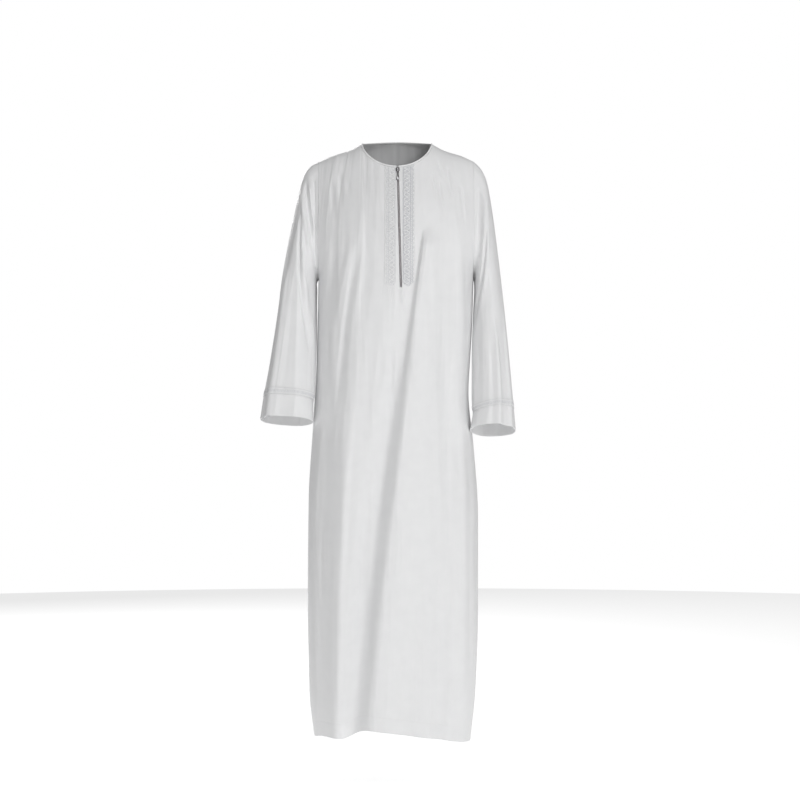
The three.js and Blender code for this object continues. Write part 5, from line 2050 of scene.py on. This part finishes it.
@dataclass
class ZipChain:
    """The zip's tapes behind the panel's edges and its closed teeth between them."""

    tape_inner: float = 2.7
    tape_outer: float = 12.0
    tape_thickness: float = 0.8
    tape_end_gap: float = 0.5
    chain_half_width: float = 1.6
    chain_thickness: float = 1.0
    core_lift: float = -1.5
    teeth_lift: float = -0.95
    top_z: float = -66.5
    end_gap: float = 0.9
    tooth_pitch: float = 1.6
    tooth_offset: float = 0.6
    levels: int = 110

    def _down(self, top: float, end: float) -> np.ndarray:
        """Levels down the zip."""
        return np.linspace(top, end, self.levels)

    def _tape(self, side: Side, room: Workroom) -> Piece:
        """One tape, behind the panel.

        Args:
            side: The side of the zip that it is on.
            room: The workroom.

        Returns:
            The tape.
        """
        z = self._down(-BODY.front_neck_drop - self.tape_end_gap, BODY.zip_end_z + self.tape_end_gap)[:, None]
        away = side.value * np.linspace(self.tape_inner, self.tape_outer, 5)
        grid = ClothGrid.on(FRONT.path(BODY.zip_x(z) + np.sort(away), z))
        name = f"zip_tape_{side.word}"
        tape = cloth_wall(f"{name}_cloth", grid, self.tape_thickness, lift=-CAD_CLOTH - SEAM_GAP)
        return dress(tape, GARMENT, "zip_tape", [name], room.tape)

    def build(self, room: Workroom) -> list[Piece]:
        """Builds the tapes, too narrow for sheets of their own, the chain's woven core and two rows of teeth.

        Args:
            room: The workroom.

        Returns:
            The pieces.
        """
        tapes = [self._tape(side, room) for side in Side]
        end = BODY.zip_end_z + self.end_gap
        z = self._down(self.top_z, end)[:, None]
        grid = ClothGrid.on(FRONT.path(BODY.zip_x(z) + np.linspace(-1, 1, 3) * self.chain_half_width, z))
        core = cloth_wall("zip_chain_core", grid, self.chain_thickness, lift=self.core_lift)
        dress(core, GARMENT, "zip_tape", material=room.tape)
        rows = []
        for side, start in ((Side.RIGHT, 0.0), (Side.LEFT, self.tooth_pitch / 2)):
            levels = self._down(self.top_z - start, end)
            rows.append(FRONT.path(BODY.zip_x(levels) + side.value * self.tooth_offset, levels))
        style = StitchStyle(
            pitch=self.tooth_pitch, length=0.95, width=1.7, height=1.4, lift=self.teeth_lift, unevenness=0.02
        )
        teeth = room.stitches.sew("zip_teeth_closed", rows, style, room.teeth, seed=8)
        dress(teeth, GARMENT, "zip_teeth", ["zip_chain"])
        return [*tapes, core, teeth]


@dataclass
class ZipPull:
    """The slider and the pull that hangs from its bridge: a link, a ring and a drop."""

    pivot: tuple[float, float, float]
    lean: float = math.radians(68.06)  # the pull's line above the level, seen from the side
    link_bar: float = 1.0
    link_length: float = 10.5
    ring_radius: float = 2.1
    ring_wire: float = 0.4
    ring_steps: int = 44
    wire_sides: int = 12
    drop_width: float = 7.6
    drop_length: float = 20.0
    drop_rim: float = 1.25
    heart_corners: int = 40
    heart_stretch: float = 2.1
    heart_taper: float = 0.45
    heart_sections: tuple[tuple[float, float], ...] = ((1.0, 0.42), (1.0, 0.62), (0.72, 0.8), (0.0001, 0.86))
    sharp_angle: float = 35

    @property
    def link_end(self) -> float:
        """The link's far end, along from the hinge."""
        return self.link_bar / 2 - self.link_length

    def _placed(self, across: Numbers, along: Numbers, out: Numbers) -> np.ndarray:
        """Points given across, along and out from the hinge, placed in the frame.

        Args:
            across: How far across each point is.
            along: How far along the pull.
            out: How far out from the cloth.

        Returns:
            The points in millimetres.
        """
        cos, sin = math.cos(self.lean), math.sin(self.lean)
        places = np.broadcast_arrays(across, along * cos - out * sin, along * sin + out * cos)
        return np.stack(places, axis=-1) + np.array(self.pivot) / MM

    def _from_node(self, name: str, node: Piece, bevel: float) -> Piece:
        """A copy of a frame node with its coplanar faces joined and its edges rounded.

        Args:
            name: The copy's name.
            node: The node.
            bevel: Width of the rounded edges.

        Returns:
            The copy.
        """
        mesh = node.data.copy()
        mesh.name = name
        bm = bmesh.new()
        bm.from_mesh(mesh)
        bmesh.ops.remove_doubles(bm, verts=bm.verts, dist=SAME)
        bmesh.ops.dissolve_limit(bm, angle_limit=math.radians(1), verts=bm.verts, edges=bm.edges)
        limit = math.radians(self.sharp_angle)
        sharp = [edge for edge in bm.edges if edge.is_manifold and edge.calc_face_angle() > limit]
        bmesh.ops.bevel(bm, geom=sharp, offset=bevel * MM, segments=2, affect="EDGES", clamp_overlap=True)
        bmesh.ops.triangulate(bm, faces=[face for face in bm.faces if len(face.verts) > 4])
        bm.to_mesh(mesh)
        bm.free()
        smoothed(mesh, self.sharp_angle)
        return shown(name, mesh)

    def _ring(self) -> Piece:
        """The round ring, standing across the link and the drop.

        Returns:
            The ring.
        """
        centre = self.link_end + self.link_bar + SEAM_GAP - (self.ring_radius - self.ring_wire)
        turns = turns_round(self.ring_steps)[:, None]
        wire = turns_round(self.wire_sides)
        reach = self.ring_radius + self.ring_wire * np.cos(wire)
        across = self.ring_wire * np.sin(wire)
        sections = self._placed(across, centre + reach * np.cos(turns), reach * np.sin(turns))
        return tube_mesh("pull_ring_metal", sections, closed=True)

    def _heart(self) -> Piece:
        """The lighter raised teardrop on the drop's face.

        Returns:
            The teardrop.
        """
        middle = self.link_end - SEAM_GAP - self.drop_length + self.drop_width / 2
        turns = turns_round(self.heart_corners)
        stretch = np.where(np.cos(turns) > 0, self.heart_stretch, 1.0)
        taper = 1 - self.heart_taper * np.clip(np.cos(turns), 0, 1)
        share, height = np.array(self.heart_sections).T[..., None]
        half = (self.drop_width / 2 - self.drop_rim) * share
        sections = self._placed(half * np.sin(turns) * taper, middle + half * np.cos(turns) * stretch, height)
        return tube_mesh("pull_drop_heart", sections)

    def build(self, nodes: dict[str, Piece], room: Workroom) -> None:
        """Builds the slider and the pull's pieces.

        Args:
            nodes: The frame's nodes.
            room: The workroom.
        """
        slider = self._from_node("zip_slider_metal", nodes["zip_slider"], 0.3)
        dress(slider, GARMENT, "zip_metal", ["zip_slider"], room.nickel)
        link = self._from_node("pull_link_metal", nodes["pull_link"], 0.2)
        dress(link, PULL, "zip_metal", ["pull_link"], room.nickel)
        dress(self._ring(), PULL, "zip_metal", ["pull_ring"], room.nickel)
        drop = self._from_node("pull_drop_metal", nodes["pull_drop"], 0.25)
        dress(drop, PULL, "zip_metal", ["pull_drop"], room.nickel)
        dress(self._heart(), PULL, "zip_metal", material=room.bright)


# ---------------------------------------------------------------- stage


@dataclass(frozen=True)
class Lamp:
    """A square soft light that looks at the middle of the robe."""

    name: str
    place: tuple[float, float, float]
    size: float
    power: float
    aim: tuple[float, float, float] = (0, 0, -0.6)

    def build(self) -> None:
        """Hangs the lamp."""
        data = bpy.data.lights.new(self.name, "AREA")
        data.size = self.size
        data.energy = self.power
        lamp = shown(self.name, data)
        lamp.location = self.place
        lamp.rotation_euler = (Vector(self.aim) - Vector(self.place)).to_track_quat("-Z", "Y").to_euler()


@dataclass(frozen=True)
class Stage:
    """A plain pale floor, soft studio light and the camera."""

    floor_z: float = -1.567
    floor_radius: float = 6.0
    floor_corners: int = 96
    floor_glow: float = 0.6
    camera_place: tuple[float, float, float] = (0.0097, -5.6, -0.62)
    lens: float = 103.7
    sensor: float = 36.0
    fill: float = 0.2
    lamps: tuple[Lamp, ...] = (
        Lamp("key", (1.8, -3.9, 1.0), 1.8, 66),
        Lamp("top", (0.3, -1.2, 2.6), 2.2, 20),
        Lamp("back", (-1.6, 4.0, 1.3), 1.8, 66),
    )

    def build(self) -> None:
        """Sets the stage."""
        self._floor()
        self._world()
        for lamp in self.lamps:
            lamp.build()
        self._camera()
        bpy.context.scene.view_settings.view_transform = "Standard"

    def _floor(self) -> None:
        """A wide pale disc under the robe."""
        turns = turns_round(self.floor_corners)
        ring = [self.floor_radius * np.cos(turns), self.floor_radius * np.sin(turns)]
        vertices = np.stack([*ring, np.full_like(turns, self.floor_z)], axis=-1)
        floor = mesh_object("studio_floor", vertices, [list(range(self.floor_corners))], smooth=False)
        mix = Mix("pale studio floor")
        mix.set(Base_Color=(0.95, 0.95, 0.95, 1), Roughness=0.9)
        mix.set(Emission_Color=(1, 1, 1, 1), Emission_Strength=self.floor_glow)
        floor.data.materials.append(mix.material)
        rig.stage(floor)

    def _world(self) -> None:
        """Even white light all round, seen as plain white."""
        world = bpy.data.worlds.new("white studio")
        world.use_nodes = True
        bpy.context.scene.world = world
        tree = world.node_tree
        tree.nodes.clear()
        seen = add_node(tree, "ShaderNodeLightPath").outputs["Is Camera Ray"]
        light, plain = (
            add_node(tree, "ShaderNodeBackground", Color=(1, 1, 1, 1), Strength=strength).outputs[0]
            for strength in (self.fill, 1.0)
        )
        mixed = add_node(tree, "ShaderNodeMixShader", in_0=seen, in_1=light, in_2=plain)
        add_node(tree, "ShaderNodeOutputWorld", Surface=mixed.outputs[0])

    def _camera(self) -> None:
        """The level camera in front of the robe."""
        data = bpy.data.cameras.new("camera")
        data.lens = self.lens
        data.sensor_width = self.sensor
        data.clip_end = 100
        camera = shown("camera", data)
        camera.location = self.camera_place
        camera.rotation_euler = (math.pi / 2, 0, 0)
        bpy.context.scene.camera = camera


# ---------------------------------------------------------------- the robe


def corners_of(box: Sequence[Sequence[float]]) -> list[list[float]]:
    """A box's two corners as plain lists."""
    return [list(corner) for corner in box]


def main() -> None:
    """Builds the robe on its frame, piece by piece, and sets the stage."""
    logging.basicConfig(level=logging.INFO, format="%(name)s: %(message)s")
    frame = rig.load()
    cad_box = corners_of(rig.bounds())
    room = Workroom.opened()
    Stage().build()
    front = FrontPanel(
        name="front_panel",
        form=FRONT,
        steps=column_steps((0, 1, 2), (1, 4, 12), (4, 8, 30), (8, 18, 40)),
    )
    back = BackPanel(
        name="back_panel",
        form=BACK,
        steps=column_steps((0, 5, 32), (5, 12, 36)),
    )
    front_pieces = front.build(room)
    back_pieces = back.build(room)
    binding = NeckBinding(front, back).build(room)
    zip_pieces = ZipChain().build(room)
    for panel, (cloth, *rest), carrier in (
        (front, front_pieces, "back_panel_cloth"),
        (back, back_pieces, "front_panel_cloth"),
    ):
        extra = [binding, *zip_pieces] if panel is front else []
        cut = panel.grid.cut(panel.open_quads())
        log.info("%s is cut %s m, %s m2", cloth.name, cut["flat"], cut["area"])
        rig.sheet(cloth, held="hung", rests_on=[carrier], with_pieces=[*rest, *extra], **cut)
    Sleeve(Side.RIGHT, RIGHT_RINGS, RIGHT_SLEEVE_FOLDS, RIGHT_SLEEVE_CREASES, RIGHT_FRONT_CREASES).build(room)
    Sleeve(Side.LEFT, LEFT_RINGS, LEFT_SLEEVE_FOLDS, LEFT_SLEEVE_CREASES, LEFT_FRONT_CREASES).build(room)
    EmbroideredStrip(Side.RIGHT, -1, -27.5, -345, -349, -344, tail=38).build(room)
    EmbroideredStrip(Side.LEFT, 16.4, 45.4, -343, -351, -338).build(room)
    pivot = frame["record"]["behaviour"]["joints"][0]["pos_m"]
    ZipPull(tuple(pivot)).build(frame["nodes"], room)
    boxes = {"cad": cad_box, "visual": corners_of(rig.bounds())}
    with open("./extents.json", "w") as file:
        json.dump(boxes, file)


if __name__ == "__main__":
    main()
